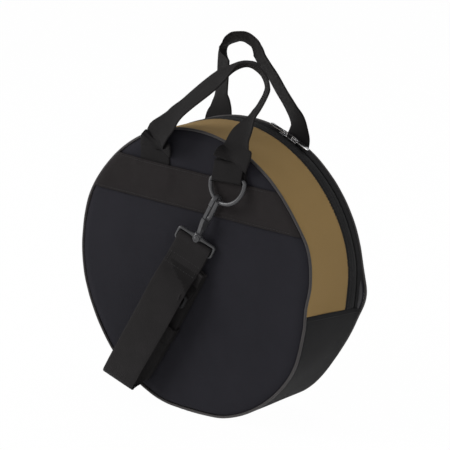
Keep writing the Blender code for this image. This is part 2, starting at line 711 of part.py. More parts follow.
def gate(prefix, hook_frame, bottom, top):
    # A sprung bar that closes the mouth of the hook and turns inwards about its lower end.
    outer = HOOK_INNER / 2 + HOOK_WALL
    middle = -outer + GATE_THICKNESS / 2
    low = bottom + GATE_PLAY + GATE_THICKNESS / 2
    high = top - GATE_PLAY
    place = hook_frame @ Matrix.Translation((0, middle, low))
    hinge = pivot(f"{prefix}_gate_hinge", place)
    half = GATE_THICKNESS / 2
    outline = arc((0, 0), half, -math.pi, 0, ROUND_STEPS // 2)
    outline += [(half, high - low), (-half, high - low)]
    thick = HOOK_PLATE / 2 - GATE_PLAY
    prism(f"{prefix}_gate", DARK_HARDWARE, outline, -thick, thick, "X", hinge, place)


def yoke(prefix, yoke_frame, barrel_top, barrel_bottom, bar_top):
    turn = pivot(f"{prefix}_swivel", yoke_frame)
    half = YOKE_WIDTH / 2
    bottom = bar_top - YOKE_WIRE
    under = barrel_bottom + BARREL_LIP
    crown = under + YOKE_WIRE
    bevel = YOKE_WIRE / 2
    frame = [(-half, bottom), (half, bottom), (half, crown - bevel), (half - bevel, crown)]
    frame += [(-half + bevel, crown), (-half, crown - bevel)]
    deep = YOKE_DEPTH / 2
    piece = prism(f"{prefix}_yoke", DARK_HARDWARE, frame, -deep, deep, "Y", turn, yoke_frame)
    inside = half - YOKE_WIRE
    window = [(-inside, bar_top), (inside, bar_top), (inside, under), (-inside, under)]
    through = (-YOKE_DEPTH, YOKE_DEPTH, "Y")
    hole = prism(f"{prefix}_window_guide", DARK_HARDWARE, window, *through, turn, yoke_frame)
    barrel_ends = (barrel_bottom, barrel_top)
    barrel = upright_rod(
        f"{prefix}_barrel_guide", DARK_HARDWARE, BARREL_RADIUS, *barrel_ends, turn, yoke_frame
    )
    bore_ends = (barrel_bottom - BARREL_LENGTH, barrel_top + BARREL_LENGTH)
    bore_radius = SHANK_RADIUS + SWIVEL_PLAY
    bore = upright_rod(f"{prefix}_bore_guide", DARK_HARDWARE, bore_radius, *bore_ends, turn, yoke_frame)
    combine(piece, hole, "DIFFERENCE")
    combine(piece, barrel, "UNION")
    combine(piece, bore, "DIFFERENCE")


# Shoulder strap


def strap_levels():
    # The loop round the yoke's far bar is loose, and its crest stands up to the end of the hook.
    barrel_bottom, bar_top = hook_heights()[2:]
    bar = bar_top - YOKE_WIRE / 2
    foot = bar - STRAP_HANG
    wrap = math.hypot(YOKE_WIRE, YOKE_DEPTH) / 2 + SEAM_GAP + WEB_THICKNESS / 2
    rivet_bottom = barrel_bottom - SWIVEL_PLAY - RIVET_HEIGHT
    crest = rivet_bottom - LOOP_PLAY - WEB_THICKNESS / 2 - wrap
    return bar, crest, foot, wrap


def strap_path(spare_bar):
    # Down in front, back up behind, twice more up and down in tight folds, and out to the spare hook.
    bar, crest, foot, wrap = strap_levels()
    stack_top = bar - STACK_TOP_DROP
    stack_foot = foot + STACK_BOTTOM_RISE
    rear = STRAP_REAR_LAYER
    layers = [rear - i * STRAP_PITCH for i in range(STRAP_LAYERS)]
    tight = STRAP_PITCH / 2
    close = WEB_THICKNESS + SEAM_GAP
    front = [
        (-wrap, crest),
        (-wrap, bar),
        (-wrap - close, bar - STRAP_TAIL / 2),
        (-STRAP_BULGE / 2, bar - STRAP_TAIL),
        *((-out * STRAP_BULGE, bar - down * STRAP_HANG) for down, out in STRAP_FRONT_SHARES),
        (-STRAP_FOOT_SHARE * STRAP_BULGE, foot + STACK_BOTTOM_RISE / 2),
    ]
    tail = [
        (-STRAP_BULGE / 2 + close, bar - STRAP_TAIL),
        (-close / 2, bar - STRAP_TAIL / 2),
        (wrap, bar - YOKE_WIRE),
    ]
    path = tail + arc((0, crest), wrap, 0, math.pi, FOLD_STEPS) + smooth_path(front, STRAP_FRONT_STEPS)[1:]
    sweep = (front[-1][0] + layers[0]) / 2
    bow = (layers[0] - front[-1][0]) / 2
    path += arc((sweep, foot + STACK_BOTTOM_RISE / 2), bow, math.pi, 2 * math.pi, FOLD_STEPS)[1:]
    path += arc((layers[0] - tight, stack_top), tight, 0, math.pi, FOLD_STEPS)
    path += arc((layers[1] - tight, stack_foot), tight, 0, -math.pi, FOLD_STEPS)
    path += arc((layers[2] - tight, stack_top), tight, 0, math.pi, FOLD_STEPS)
    bar_y, bar_z = spare_bar
    path += [(layers[3], bar_z + STRAP_TAIL)]
    path += arc((bar_y, bar_z), wrap, 0, -math.pi, FOLD_STEPS)
    path += [(bar_y - wrap, bar_z + YOKE_WIRE)]
    path += [(layers[3] - 2 * close, bar_z + STRAP_TAIL / 2), (layers[3] - close, bar_z + STRAP_TAIL)]
    return path


def strap_keeper(carrier, frame):
    # An elastic loop round the four folded layers, on the inner side of the strap.
    bar = strap_levels()[0]
    half = WEB_THICKNESS / 2 + SEAM_GAP
    rear = STRAP_REAR_LAYER + half
    front = STRAP_REAR_LAYER - (STRAP_LAYERS - 1) * STRAP_PITCH - half
    inside = WEB_WIDTH / 2 + SEAM_GAP
    outside = inside + KEEPER_THICKNESS
    low = bar - KEEPER_DROP
    ends = (low, low + KEEPER_WIDTH)
    deep = KEEPER_THICKNESS
    shell = [(-outside, front - deep), (outside, front - deep)]
    shell += [(outside, rear + deep), (-outside, rear + deep)]
    piece = prism("strap_keeper", BLACK_WEBBING, shell, *ends, "Z", carrier, frame)
    space = [(-inside, front), (inside, front), (inside, rear), (-inside, rear)]
    over = (low - KEEPER_WIDTH, low + 2 * KEEPER_WIDTH)
    hole = prism("strap_keeper_guide", BLACK_WEBBING, space, *over, "Z", carrier, frame)
    combine(piece, hole, "DIFFERENCE")


def shoulder_strap():
    ring_middle = FRONT_HANDLE_OFFSET + HANDLE_SPACING / 2
    half = RING_WIDTH / 2 - RING_WIRE
    depth = RING_HEIGHT - 2 * RING_WIRE - half + half * math.cos(STRAP_TILT)
    hold = (
        ring_middle - half * math.sin(STRAP_TILT),
        -RING_BAR_Y - depth * math.sin(RING_TILT),
        RING_BAR_Z - depth * math.cos(RING_TILT),
    )
    frame = Matrix.Translation(hold) @ Matrix.Rotation(STRAP_TILT, 4, "Y")
    snap_hook("front_hook", frame, frame)
    bar = strap_levels()[0]
    hinge = pivot("strap_hinge", frame @ Matrix.Translation((0, 0, bar)))
    spare_bar = (-SPARE_HOOK_STAND, bar - SPARE_HOOK_DROP)
    path = strap_path(spare_bar)
    side_ribbon("shoulder_strap", BLACK_WEBBING, path, WEB_WIDTH, WEB_THICKNESS, 0.0, hinge, frame)
    strap_keeper(hinge, frame)
    hang = Matrix.Translation((0, spare_bar[0], spare_bar[1] + bar))
    upside_down = frame @ hang @ Matrix.Rotation(math.pi, 4, "Y")
    flat_turn = Matrix.Rotation(math.pi / 2, 4, "Z")
    snap_hook("spare_hook", upside_down, upside_down @ flat_turn)


def main():
    clear_scene()
    lid = pivot("lid_hinge", Matrix.Translation((0, LID_HINGE_Y, CHORD_HEIGHT)))
    panel_layers("front_panel", FRONT)
    panel_layers("rear_panel_upper", REAR, "lid", lid)
    panel_layers("rear_panel_lower", REAR, "lower")
    side_wall()
    seam_bindings()
    piping("front_piping", FRONT, 0, 2 * math.pi, closed=True)
    piping("rear_piping_upper", REAR, SEAM_ANGLE + SEAM_PLAY, UPPER_END - SEAM_PLAY, carrier=lid)
    piping("rear_piping_lower", REAR, LOWER_START + SEAM_PLAY, LOWER_END - SEAM_PLAY)
    zipper(lid)
    slider(1)
    slider(-1)
    half = HANDLE_SPACING / 2
    for word, side, offset, tilt, carrier in (
        ("front", FRONT, FRONT_HANDLE_OFFSET, RING_TILT, None),
        ("rear", REAR, REAR_HANDLE_OFFSET, 0, lid),
    ):
        band(f"{word}_band", side, (offset - half, offset + half), carrier)
        ring_middle = offset - side * half
        ring_tab(f"{word}_d_ring_tab", side, ring_middle, carrier)
        d_ring(word, side, ring_middle, tilt)
    handle("front", FRONT, FRONT_HANDLE_OFFSET, FRONT_HANDLE_RISE, FRONT_HANDLE_SHARES)
    handle("rear", REAR, REAR_HANDLE_OFFSET, REAR_HANDLE_RISE, REAR_HANDLE_SHARES, lid)
    shoulder_strap()


main()
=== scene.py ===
from math import acos, atan2, ceil, copysign, cos, degrees, exp, hypot, inf, pi, radians, sin, sqrt

import bmesh
import bpy
from mathutils import Matrix, Vector, noise


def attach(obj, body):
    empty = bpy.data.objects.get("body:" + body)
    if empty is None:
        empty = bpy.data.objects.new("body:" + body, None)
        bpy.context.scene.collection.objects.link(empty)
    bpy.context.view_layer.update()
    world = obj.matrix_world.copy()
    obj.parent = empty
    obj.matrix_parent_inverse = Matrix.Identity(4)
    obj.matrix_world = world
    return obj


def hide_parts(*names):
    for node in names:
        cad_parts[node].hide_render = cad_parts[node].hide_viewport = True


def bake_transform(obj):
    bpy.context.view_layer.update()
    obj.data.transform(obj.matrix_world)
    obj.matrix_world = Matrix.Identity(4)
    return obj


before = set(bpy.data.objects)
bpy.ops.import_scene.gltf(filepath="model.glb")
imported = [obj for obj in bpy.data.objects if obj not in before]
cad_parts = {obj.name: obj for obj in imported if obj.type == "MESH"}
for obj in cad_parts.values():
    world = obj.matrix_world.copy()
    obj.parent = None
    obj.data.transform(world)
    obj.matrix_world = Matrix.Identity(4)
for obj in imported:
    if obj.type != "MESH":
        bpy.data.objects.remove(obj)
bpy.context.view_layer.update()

print("case frame loaded:", len(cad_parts), "nodes")

# the case itself, shared by every piece that follows its rim
case = {
    "radius": 0.150, "centre": 0.148226, "face": 0.045,
    "seamAngle": -9.2,  # where khaki and lower side meet, degrees
    "seamSlant": -1.7,  # how much lower that seam is at the rear edge than in the middle
    "foldStart": 0.1185,  # the rear panel bends between these heights
    "foldEnd": 0.1362,
    "hemFrom": 0.87,  # share of the depth at which the hem behind the zipper begins
    "hemSpan": 0.11,
}
# soft rim: (angle, half width of the bump in degrees, how far out in metres)
rimSwells = {
    "front": ((19, 9, 0.0036), (-4, 8, -0.0058), (-17, 9, -0.0040), (154, 11, 0.0018),
              (208, 16, -0.0015)),
    "rear": ((-33, 16, -0.0042), (-62, 14, 0.0026)),
    "hem": ((-5, 7.5, 0.0050),),  # behind the zipper only
}
# slow and fine waves of the panels' cloth: (height, how many per metre, seed)
clothWaves = ((0.0007, 22, 3.1), (0.00022, 75, 5.7))
panelSwell = {"height": 0.0010, "reach": 0.12, "upperFrom": 0.19, "upperShare": 0.2}
# the two faces: name, side, the body that most of it belongs to
faceSides = (("front", -1, "case"), ("rear", 1, "lid"))


def unit(value):
    return min(1, max(0, value))


def swellAt(angle, y):
    turn = degrees(angle)
    share = unit((y + case["face"]) / (2 * case["face"]))
    hem = unit((share - case["hemFrom"]) / case["hemSpan"]) ** 2
    total = 0
    for side, weight in (("front", 1 - share), ("rear", share), ("hem", hem)):
        for middle, spread, height in rimSwells[side]:
            away = (turn - middle + 180) % 360 - 180
            total += weight * height * exp(-((away / spread) ** 2))
    return total


def softMax(value, floor, blend=0.003):
    above = value - floor
    return floor + (above + sqrt(above * above + blend * blend)) / 2


def rimPoint(angle, y, inset, lift):
    radius = case["radius"] - inset + swellAt(angle, y)
    height = case["centre"] + radius * sin(angle)
    return Vector((radius * cos(angle), y, softMax(height, lift - 0.0003)))


def panelOut(x, z, side):
    # how far the outer cloth of a panel lies from the middle of the case
    radius = hypot(x, z - case["centre"])
    wave = sum(height * noise.noise(Vector((x * often, side * seed, z * often)))
               for height, often, seed in clothWaves)
    low = max(0, 1 - radius / panelSwell["reach"]) * panelSwell["height"]
    low *= 1 if z < panelSwell["upperFrom"] else panelSwell["upperShare"]
    return case["face"] + wave + low


# meshes
def newObject(name, data):
    made = bpy.data.objects.new(name, data)
    bpy.context.scene.collection.objects.link(made)
    return made


def newPiece(name, corners, faces, uvs, materials, faceMaterials=None):
    mesh = bpy.data.meshes.new(name)
    mesh.from_pydata(corners, [], faces)
    layer = mesh.uv_layers.new(name="UVMap")
    layer.data.foreach_set("uv", [value for face in uvs for spot in face for value in spot])
    for material in materials:
        mesh.materials.append(material)
    if faceMaterials:
        mesh.polygons.foreach_set("material_index", faceMaterials)
    mesh.polygons.foreach_set("use_smooth", [True] * len(faces))
    shape = bmesh.new()
    shape.from_mesh(mesh)
    bmesh.ops.recalc_face_normals(shape, faces=shape.faces)
    shape.to_mesh(mesh)
    shape.free()
    return newObject(name, mesh)


def gridPiece(name, rows, across, along, materials, ring=False):
    # rows of equal closed sections; across and along are the cloth's own distances
    count = len(rows[0])
    corners = [corner for row in rows for corner in row]
    faces, uvs = [], []
    for i in range(len(rows) if ring else len(rows) - 1):
        near, far = i * count, (i + 1) % len(rows) * count
        for j in range(count):
            k = (j + 1) % count
            faces.append((near + j, near + k, far + k, far + j))
            low, high = across[j], across[j + 1]
            uvs.append(((low, along[i]), (high, along[i]), (high, along[i + 1]), (low, along[i + 1])))
    if not ring:
        for i, start in ((0, 0), (len(rows) - 1, len(corners) - count)):
            faces.append(tuple(range(start, start + count)))
            uvs.append(tuple((across[j], along[i] + 0.0005 * (j % 2)) for j in range(count)))
    return newPiece(name, corners, faces, uvs, materials)


def poledPiece(name, poles, rows, materials, outerRings=inf):
    # rings of corners between two poles; faces after outerRings rings get the second material
    count, last = len(rows[0]), len(rows) - 1
    corners = [poles[0], *(corner for row in rows for corner in row), poles[1]]
    faces, picks = [], []
    for i in range(-1, last + 1):
        near, far = 1 + i * count, 1 + (i + 1) * count
        for j in range(count):
            k = (j + 1) % count
            if i < 0:
                faces.append((0, far + k, far + j))
            elif i < last:
                faces.append((near + j, near + k, far + k, far + j))
            else:
                faces.append((near + j, near + k, len(corners) - 1))
            picks.append(0 if i < outerRings else 1)
    uvs = [[(corners[k].x, corners[k].z) for k in face] for face in faces]
    return newPiece(name, corners, faces, uvs, materials, picks)


def arcSpots(middle, radius, start, end, steps):
    turns = [start + (end - start) * i / steps for i in range(steps + 1)]
    return [(middle[0] + radius * cos(turn), middle[1] + radius * sin(turn)) for turn in turns]


def roundedBox(right, top, low, corner, radius, steps):
    # four arcs round the corners of a box, from top right to low right
    arcs = []
    for x, z, turn in ((right, top, 0), (-right, top, 1), (-right, low, 2), (right, low, 3)):
        middle = (x - copysign(corner, x), z - corner if z == top else z + corner)
        arcs.append(arcSpots(middle, radius, pi / 2 * turn, pi / 2 * (turn + 1), steps))
    return arcs


def flatProfile(width, thickness, steps):
    # rounded flat section: (sideways, outwards, distance across the cloth)
    half, edge, eighth = width / 2 - thickness / 2, thickness / 2, pi / 4
    loop = [(-half + 2 * half * i / steps, edge) for i in range(steps + 1)]
    loop += [(half + edge * sin(a), edge * cos(a)) for a in (eighth, 2 * eighth, 3 * eighth)]
    loop += [(-x, -y) for x, y in loop]
    distance, spots = 0, []
    for i, spot in enumerate(loop):
        spots.append((*spot, distance))
        after = loop[(i + 1) % len(loop)]
        distance += hypot(after[0] - spot[0], after[1] - spot[1])
    return spots, distance


def turnsRound(count):
    return [2 * pi * i / count for i in range(count)]


def roundProfile(radius, sides):
    turns = turnsRound(sides)
    return [(radius * cos(a), radius * sin(a), radius * a) for a in turns], 2 * pi * radius


def distances(points, ring=False):
    total, found = 0, [0]
    for before, after in zip(points, points[1:] + (points[:1] if ring else [])):
        total += (after - before).length
        found.append(total)
    return found


def tangents(points, ring=False):
    last = len(points) - 1
    found = []
    for i in range(last + 1):
        before = points[i - 1] if ring or i else points[0]
        after = points[(i + 1) % (last + 1)] if ring or i < last else points[last]
        found.append((after - before).normalized())
    return found


def sweepPiece(name, points, sideways, profile, materials, ring=False, shape=None):
    # a section carried along a path; sideways is its width direction, one for all points or one for each
    spots, girth = profile
    sides = [sideways] * len(points) if isinstance(sideways, Vector) else sideways
    rows = []
    for i, (point, along, side) in enumerate(zip(points, tangents(points, ring), sides)):
        across = (side - along * side.dot(along)).normalized()
        outwards = across.cross(along)
        row = [point + across * x + outwards * y for x, y, _ in spots]
        rows.append([shape(corner, i / len(points)) for corner in row] if shape else row)
    across = [spot[2] for spot in spots] + [girth]
    return gridPiece(name, rows, across, distances(points, ring), materials, ring)


def smoothRows(rows, steps):
    # a curve through all rows, with more of them between
    path, last = [], len(rows) - 1
    for i in range(last):
        around = rows[max(i - 1, 0)], rows[i], rows[i + 1], rows[min(i + 2, last)]
        for step in range(steps):
            t = step / steps
            row = []
            for a, b, c, d in zip(*around):
                square, cube = 2 * a - 5 * b + 4 * c - d, 3 * b - 3 * c + d - a
                row.append(b + t * ((c - a) / 2 + t * (square / 2 + t * cube / 2)))
            path.append(tuple(row))
    return path + [tuple(rows[last])]


def place(piece, body, slot, *nodes):
    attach(piece, body)
    finishPlace(piece, slot, *nodes)


def placeFolded(piece, slot, *nodes):
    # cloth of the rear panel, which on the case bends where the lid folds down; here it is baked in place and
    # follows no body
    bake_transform(piece)
    finishPlace(piece, slot, *nodes)


def finishPlace(piece, slot, *nodes):
    if nodes:
        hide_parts(*nodes)


# materials
class Shading:
    # a small helper that adds nodes to one material or world
    def __init__(self, owner):
        owner.use_nodes = True
        self.owner = owner
        self.nodes = owner.node_tree.nodes
        self.links = owner.node_tree.links
        self.shader = self.nodes.get("Principled BSDF")

    def feed(self, node, inputs):
        # inputs: socket -> its value, or the output that feeds it
        for socket, value in inputs.items():
            if isinstance(value, bpy.types.NodeSocket):
                self.links.new(value, node.inputs[socket])
            else:
                node.inputs[socket].default_value = value

    def add(self, kind, inputs=None, operation=None):
        node = self.nodes.new("ShaderNode" + kind)
        if operation:
            node.operation = operation
        self.feed(node, inputs or {})
        return node

    def math(self, operation, first, second=0.5):
        return self.add("Math", {0: first, 1: second}, operation).outputs[0]

    def coords(self, kind):
        return self.add("TexCoord").outputs[kind]

    def noise(self, scale, detail=3.0):
        return self.add("TexNoise", {"Scale": scale, "Detail": detail, "Roughness": 0.55,
                                     "Vector": self.coords("Object")}).outputs["Fac"]

    def ramp(self, value, low, high, dark, light):
        return self.add("MapRange", {"From Min": low, "From Max": high, "To Min": dark, "To Max": light,
                                     "Value": value}).outputs["Result"]

    def patches(self, scale, dark, light, detail=3.0):
        return self.ramp(self.noise(scale, detail), 0.3, 0.7, dark, light)

    def wave(self, value):
        return self.math("ABSOLUTE", self.math("SINE", self.math("MULTIPLY", value, pi)))

    def tint(self, colour, factor):
        scaled = self.add("VectorMath", {0: colour, "Scale": factor}, "SCALE")
        self.feed(self.shader, {"Base Color": scaled.outputs[0]})

    def bump(self, heights):
        # heights: (value, how deep in metres), fine relief last
        before = {}
        for value, depth in heights:
            node = self.add("Bump", {"Distance": depth, "Height": value, **before})
            before = {"Normal": node.outputs["Normal"]}
        self.feed(self.shader, before)

    def clothCoords(self, pitchAcross, pitchAlong):
        split = self.add("SeparateXYZ", {0: self.coords("UV")}).outputs
        return self.math("DIVIDE", split[0], pitchAcross), self.math("DIVIDE", split[1], pitchAlong)

    def showByRays(self, second, strength, plain, seen):
        # seen is what the camera and one other kind of ray meet, plain is what lights the case
        rays = self.add("LightPath").outputs
        either = self.math("MAXIMUM", rays["Is Camera Ray"], rays[second])
        mix = self.add("MixShader", {0: self.math("MULTIPLY", either, strength), 1: plain, 2: seen})
        output = next(node for node in self.nodes if node.bl_idname.startswith("ShaderNodeOutput"))
        self.feed(output, {"Surface": mix.outputs[0]})


def clothMaterial(name, own):
    # plain weave: threads over and under each other in both directions
    look, s = {**plainCloth, **own}, Shading(bpy.data.materials.new(name))
    u, v = s.clothCoords(look["thread"], look["thread"])
    steps = s.math("MODULO", s.math("ADD", s.math("FLOOR", u), s.math("FLOOR", v)), 2)
    parity = s.math("ABSOLUTE", steps)
    over = s.math("MULTIPLY", s.wave(u), parity)
    under = s.math("MULTIPLY", s.wave(v), s.math("SUBTRACT", 1, parity))
    weave = s.math("ADD", over, under)
    mottle = s.patches(look["patches"], 1 - look["mottle"], 1 + look["mottle"])
    # threads painted darker where they dip under and a little lighter on top: painted shade and highlight of
    # the weave, beside the random mottle
    shade = s.math("MULTIPLY", mottle, s.ramp(weave, 0, 0.8, 0.86, 1.06))
    specks = s.ramp(s.noise(look["specks"], 2), 0.62, 0.75, 1, 1 + look["lint"])
    s.tint(look["colour"], s.math("MULTIPLY", shade, specks))
    s.bump(((s.noise(look["folds"], 4), look["creases"]), (weave, look["relief"])))
    roughness = s.ramp(weave, 0, 1, look["roughness"] + 0.05, look["roughness"] - 0.07)
    s.feed(s.shader, {"Roughness": roughness, "Sheen Weight": look["sheen"], "Sheen Roughness": 0.45,
                      "Specular IOR Level": look["specular"]})
    return s.owner


def webbingMaterial(name, look):
    # flat webbing: fine lengthwise columns of slanting threads, like stacked arrowheads
    s = Shading(bpy.data.materials.new(name))
    u, v = s.clothCoords(look["column"], look["rib"])
    flip = s.math("ABSOLUTE", s.math("MODULO", s.math("FLOOR", u), 2))
    slant = s.math("ABSOLUTE", s.math("SUBTRACT", s.math("FRACT", u), flip))
    ribs = s.wave(s.math("ADD", v, s.math("MULTIPLY", slant, 0.8)))
    relief = s.math("MULTIPLY", ribs, s.math("POWER", s.wave(u), 0.4))
    # grooves between the ribs painted darker and rib tops lighter: painted shade and highlight, beside the
    # random patches
    shade = s.math("MULTIPLY", s.ramp(relief, 0, 0.9, 0.72, 1.12), s.patches(look["patches"], 0.9, 1.1))
    s.tint(look["colour"], shade)
    s.bump(((s.noise(look["folds"]), look["creases"]), (relief, look["relief"])))
    s.feed(s.shader, {"Roughness": s.ramp(relief, 0, 1, 0.85, look["roughness"]), "Sheen Roughness": 0.4,
                      "Sheen Weight": look["sheen"], "Specular IOR Level": look["specular"]})
    return s.owner


def hardMaterial(name, own):
    look, s = {**plainHard, **own}, Shading(bpy.data.materials.new(name))
    s.tint(look["colour"], s.patches(look["patches"], 0.88, 1.12, 5))
    s.bump(((s.noise(look["grains"], 2), look["grain"]),))
    roughness = s.patches(look["smears"], look["roughness"] - 0.06, look["roughness"] + 0.1, 4)
    s.feed(s.shader, {"Roughness": roughness, "Metallic": look["metallic"],
                      "Specular IOR Level": look["specular"]})
    return s.owner


# patches, specks, folds, smears and grains: how fine that noise is; creases, relief and grain: how deep
plainCloth = {"thread": 0.0006, "mottle": 0.08, "lint": 0.0, "creases": 0.0005, "relief": 0.00012,
              "roughness": 0.84, "sheen": 0.02, "specular": 0.11, "specks": 900, "folds": 55}
looks = {
    "navyCloth": {"colour": (0.0150, 0.0145, 0.0190), "patches": 14, "lint": 0.25},
    "blackCloth": {"colour": (0.0145, 0.0143, 0.0150), "patches": 18, "lint": 0.2},
    "bandCloth": {"colour": (0.0175, 0.0150, 0.0152), "patches": 20, "mottle": 0.09, "lint": 0.2,
                  "creases": 0.0006, "specular": 0.10},
    "khakiCloth": {"colour": (0.262, 0.170, 0.064), "patches": 12, "mottle": 0.06, "relief": 0.0001,
                   "roughness": 0.82, "sheen": 0.04, "specular": 0.12},
    "liningCloth": {"colour": (0.030, 0.029, 0.031), "thread": 0.00035, "patches": 20, "mottle": 0.05,
                    "creases": 0.0004, "relief": 0.00005, "roughness": 0.6, "sheen": 0.05, "specular": 0.4},
    "pipingCloth": {"colour": (0.031, 0.027, 0.027), "thread": 0.0005, "patches": 60, "mottle": 0.12,
                    "creases": 0.0003, "relief": 0.0001, "roughness": 0.5, "sheen": 0.03, "specular": 0.4},
    "zipperTape": {"colour": (0.0115, 0.0115, 0.0120), "thread": 0.0009, "patches": 40, "mottle": 0.06,
                   "creases": 0.0002, "relief": 0.00015, "roughness": 0.75, "specular": 0.2},
    "thread": {"colour": (0.0155, 0.0145, 0.015), "thread": 0.0002, "patches": 90, "mottle": 0.1,
               "creases": 0.0001, "relief": 0.00003, "roughness": 0.55, "sheen": 0.05, "specular": 0.35},
}
cloths = {name: clothMaterial(name, own) for name, own in looks.items()}
webbingLook = {"colour": (0.0170, 0.0155, 0.0158), "column": 0.0018, "rib": 0.0011, "creases": 0.0004,
               "relief": 0.00028, "roughness": 0.65, "sheen": 0.02, "specular": 0.14, "patches": 60,
               "folds": 45}
# a darker copy of the webbing, which is painted shade: the handles and tabs are made as dark as shade makes
# them where the lamps light their tops, the strap's back layers and keeper as dark as the shade between the
# layers
shadedWebbingLook = {**webbingLook, "colour": (0.0120, 0.0110, 0.0112), "sheen": 0.01, "specular": 0.10}
webbing = webbingMaterial("blackWebbing", webbingLook)
shadedWebbing = webbingMaterial("shadedWebbing", shadedWebbingLook)

plainHard = {"colour": (0.014, 0.014, 0.015), "patches": 120, "smears": 260, "grains": 700, "grain": 0.00003,
             "metallic": 0.0, "specular": 0.5}
darkPlastic = hardMaterial("darkHardware", {"colour": (0.040, 0.040, 0.043), "roughness": 0.34,
                                            "specular": 0.6})
# the spare hook's copy of the dark plastic, darker and duller: its darker colour is painted shade where it
# lies in the strap bundle
shadedPlastic = hardMaterial("shadedSpareHardware", {"roughness": 0.7, "specular": 0.2})
coilPlastic = hardMaterial("zipperCoil", {"roughness": 0.4, "grain": 0.00002})
brightMetal = hardMaterial("polishedSlider", {"colour": (0.74, 0.74, 0.75), "roughness": 0.16,
                                              "grain": 0.00001, "metallic": 1.0})
print("materials made")

seams = {}  # body: list of stitched lines, each a list of points on the cloth


def stitchAlong(body, points):
    seams.setdefault(body, []).append(points)


# padded panels
panelSettings = {
    "edgeRadius": 0.1481,
    "roll": 0.011,  # width of the rounded edge
    "rollDrop": 0.0024, "rollCurve": 2.4, "inside": 0.0372, "edgeStep": 0.0016, "lift": 0.0046,
    "around": 224, "rings": 54,
    "bunching": 1.25,  # rings come closer together towards the rim
    "innerRings": 30, "innerEdge": 0.985, "pucker": 0.00028, "puckers": 130, "puckerFade": 0.006,
}


def panelPiece(name, side, material):
    p = panelSettings
    rims = [(1 - (1 - i / p["rings"]) ** p["bunching"], "outer") for i in range(1, p["rings"] + 1)]
    rims += [(1, "edge"), (p["innerEdge"], "inner")]
    rims += [(1 - i / p["innerRings"], "inner") for i in range(1, p["innerRings"])]
    rows = []
    for share, part in rims:
        row = []
        for angle in turnsRound(p["around"]):
            edge = p["edgeRadius"] + swellAt(angle, side * case["face"])
            radius = edge * share
            x = radius * cos(angle)
            z = softMax(case["centre"] + radius * sin(angle), p["lift"])
            out = p["inside"] + (p["edgeStep"] if part == "edge" else 0)
            if part == "outer":
                into = max(0, (radius - (edge - p["roll"])) / p["roll"])
                pucker = p["pucker"] * sin(p["puckers"] * angle + 2 * sin(5 * angle))
                out = panelOut(x, z, side) - p["rollDrop"] * into ** p["rollCurve"]
                out += pucker * exp(-(edge - radius) / p["puckerFade"]) * (1 - into ** 6)
            row.append(Vector((x, side * out, z)))
        rows.append(row)
    outs = (panelOut(0, case["centre"], side), p["inside"])
    poles = [Vector((0, side * out, case["centre"])) for out in outs]
    return poledPiece(name, poles, rows, [material, cloths["liningCloth"]], p["rings"])


frontPanel = panelPiece("frontPanel", -1, cloths["navyCloth"])
place(frontPanel, "case", "navy_cloth", "front_panel_skin", "front_panel_foam", "front_panel_lining")
rearPanel = panelPiece("rearPanel", 1, cloths["navyCloth"])
placeFolded(rearPanel, "navy_cloth", "rear_panel_upper_skin", "rear_panel_upper_foam",
            "rear_panel_upper_lining", "rear_panel_lower_skin", "rear_panel_lower_foam",
            "rear_panel_lower_lining")
print("panels made")

# piping round both rims
pipingSettings = {"radius": 0.0014, "inset": 0.0007, "level": 0.0432, "lift": 0.0026, "around": 240,
                  "wobble": 0.00035, "wobbles": 9}


def pipingPiece(name, side):
    p = pipingSettings
    points = []
    for angle in turnsRound(p["around"]):
        spot = rimPoint(angle, side * p["level"], p["inset"], p["lift"])
        around = Vector((p["wobbles"] * cos(angle), p["wobbles"] * sin(angle), side))
        spot.y += p["wobble"] * noise.noise(around)
        points.append(spot)
    profile = roundProfile(p["radius"], 12)
    return sweepPiece(name, points, Vector((0, 1, 0)), profile, [cloths["pipingCloth"]], ring=True)


place(pipingPiece("frontPiping", -1), "case", "grey_piping", "front_piping")
placeFolded(pipingPiece("rearPiping", 1), "grey_piping", "rear_piping_upper", "rear_piping_lower")

# the side: khaki cloth over the top, black cloth below, zipper strips behind the khaki
wallSettings = {
    "front": -0.0420, "khakiEdge": 0.0200, "stripEdge": 0.0280, "tapeEdge": 0.0334, "rearTape": 0.0348,
    "rear": 0.0417, "thickness": 0.0014, "inset": 0.0,
    "overlap": 0.003,  # how far a piece runs under the lower side at each end
    "steps": 8,  # rows of faces across
    "edgeDrop": 0.0006, "edgeSoft": 0.0022, "pucker": 0.00022, "puckerPitch": 0.0085, "puckerFade": 0.005,
    "wave": 0.0006, "hem": 0.0005, "hemSoft": 0.004, "step": radians(1.5),
}


def seamAngleAt(y, left=False):
    angle = radians(case["seamAngle"] + case["seamSlant"] * y / case["face"])
    return pi - angle if left else angle


def rimPath(level, steps, inset):
    # along the upper wall from seam to seam
    start, end = seamAngleAt(level), seamAngleAt(level, True)
    return [rimPoint(start + (end - start) * i / steps, level, inset, 0) for i in range(steps + 1)]


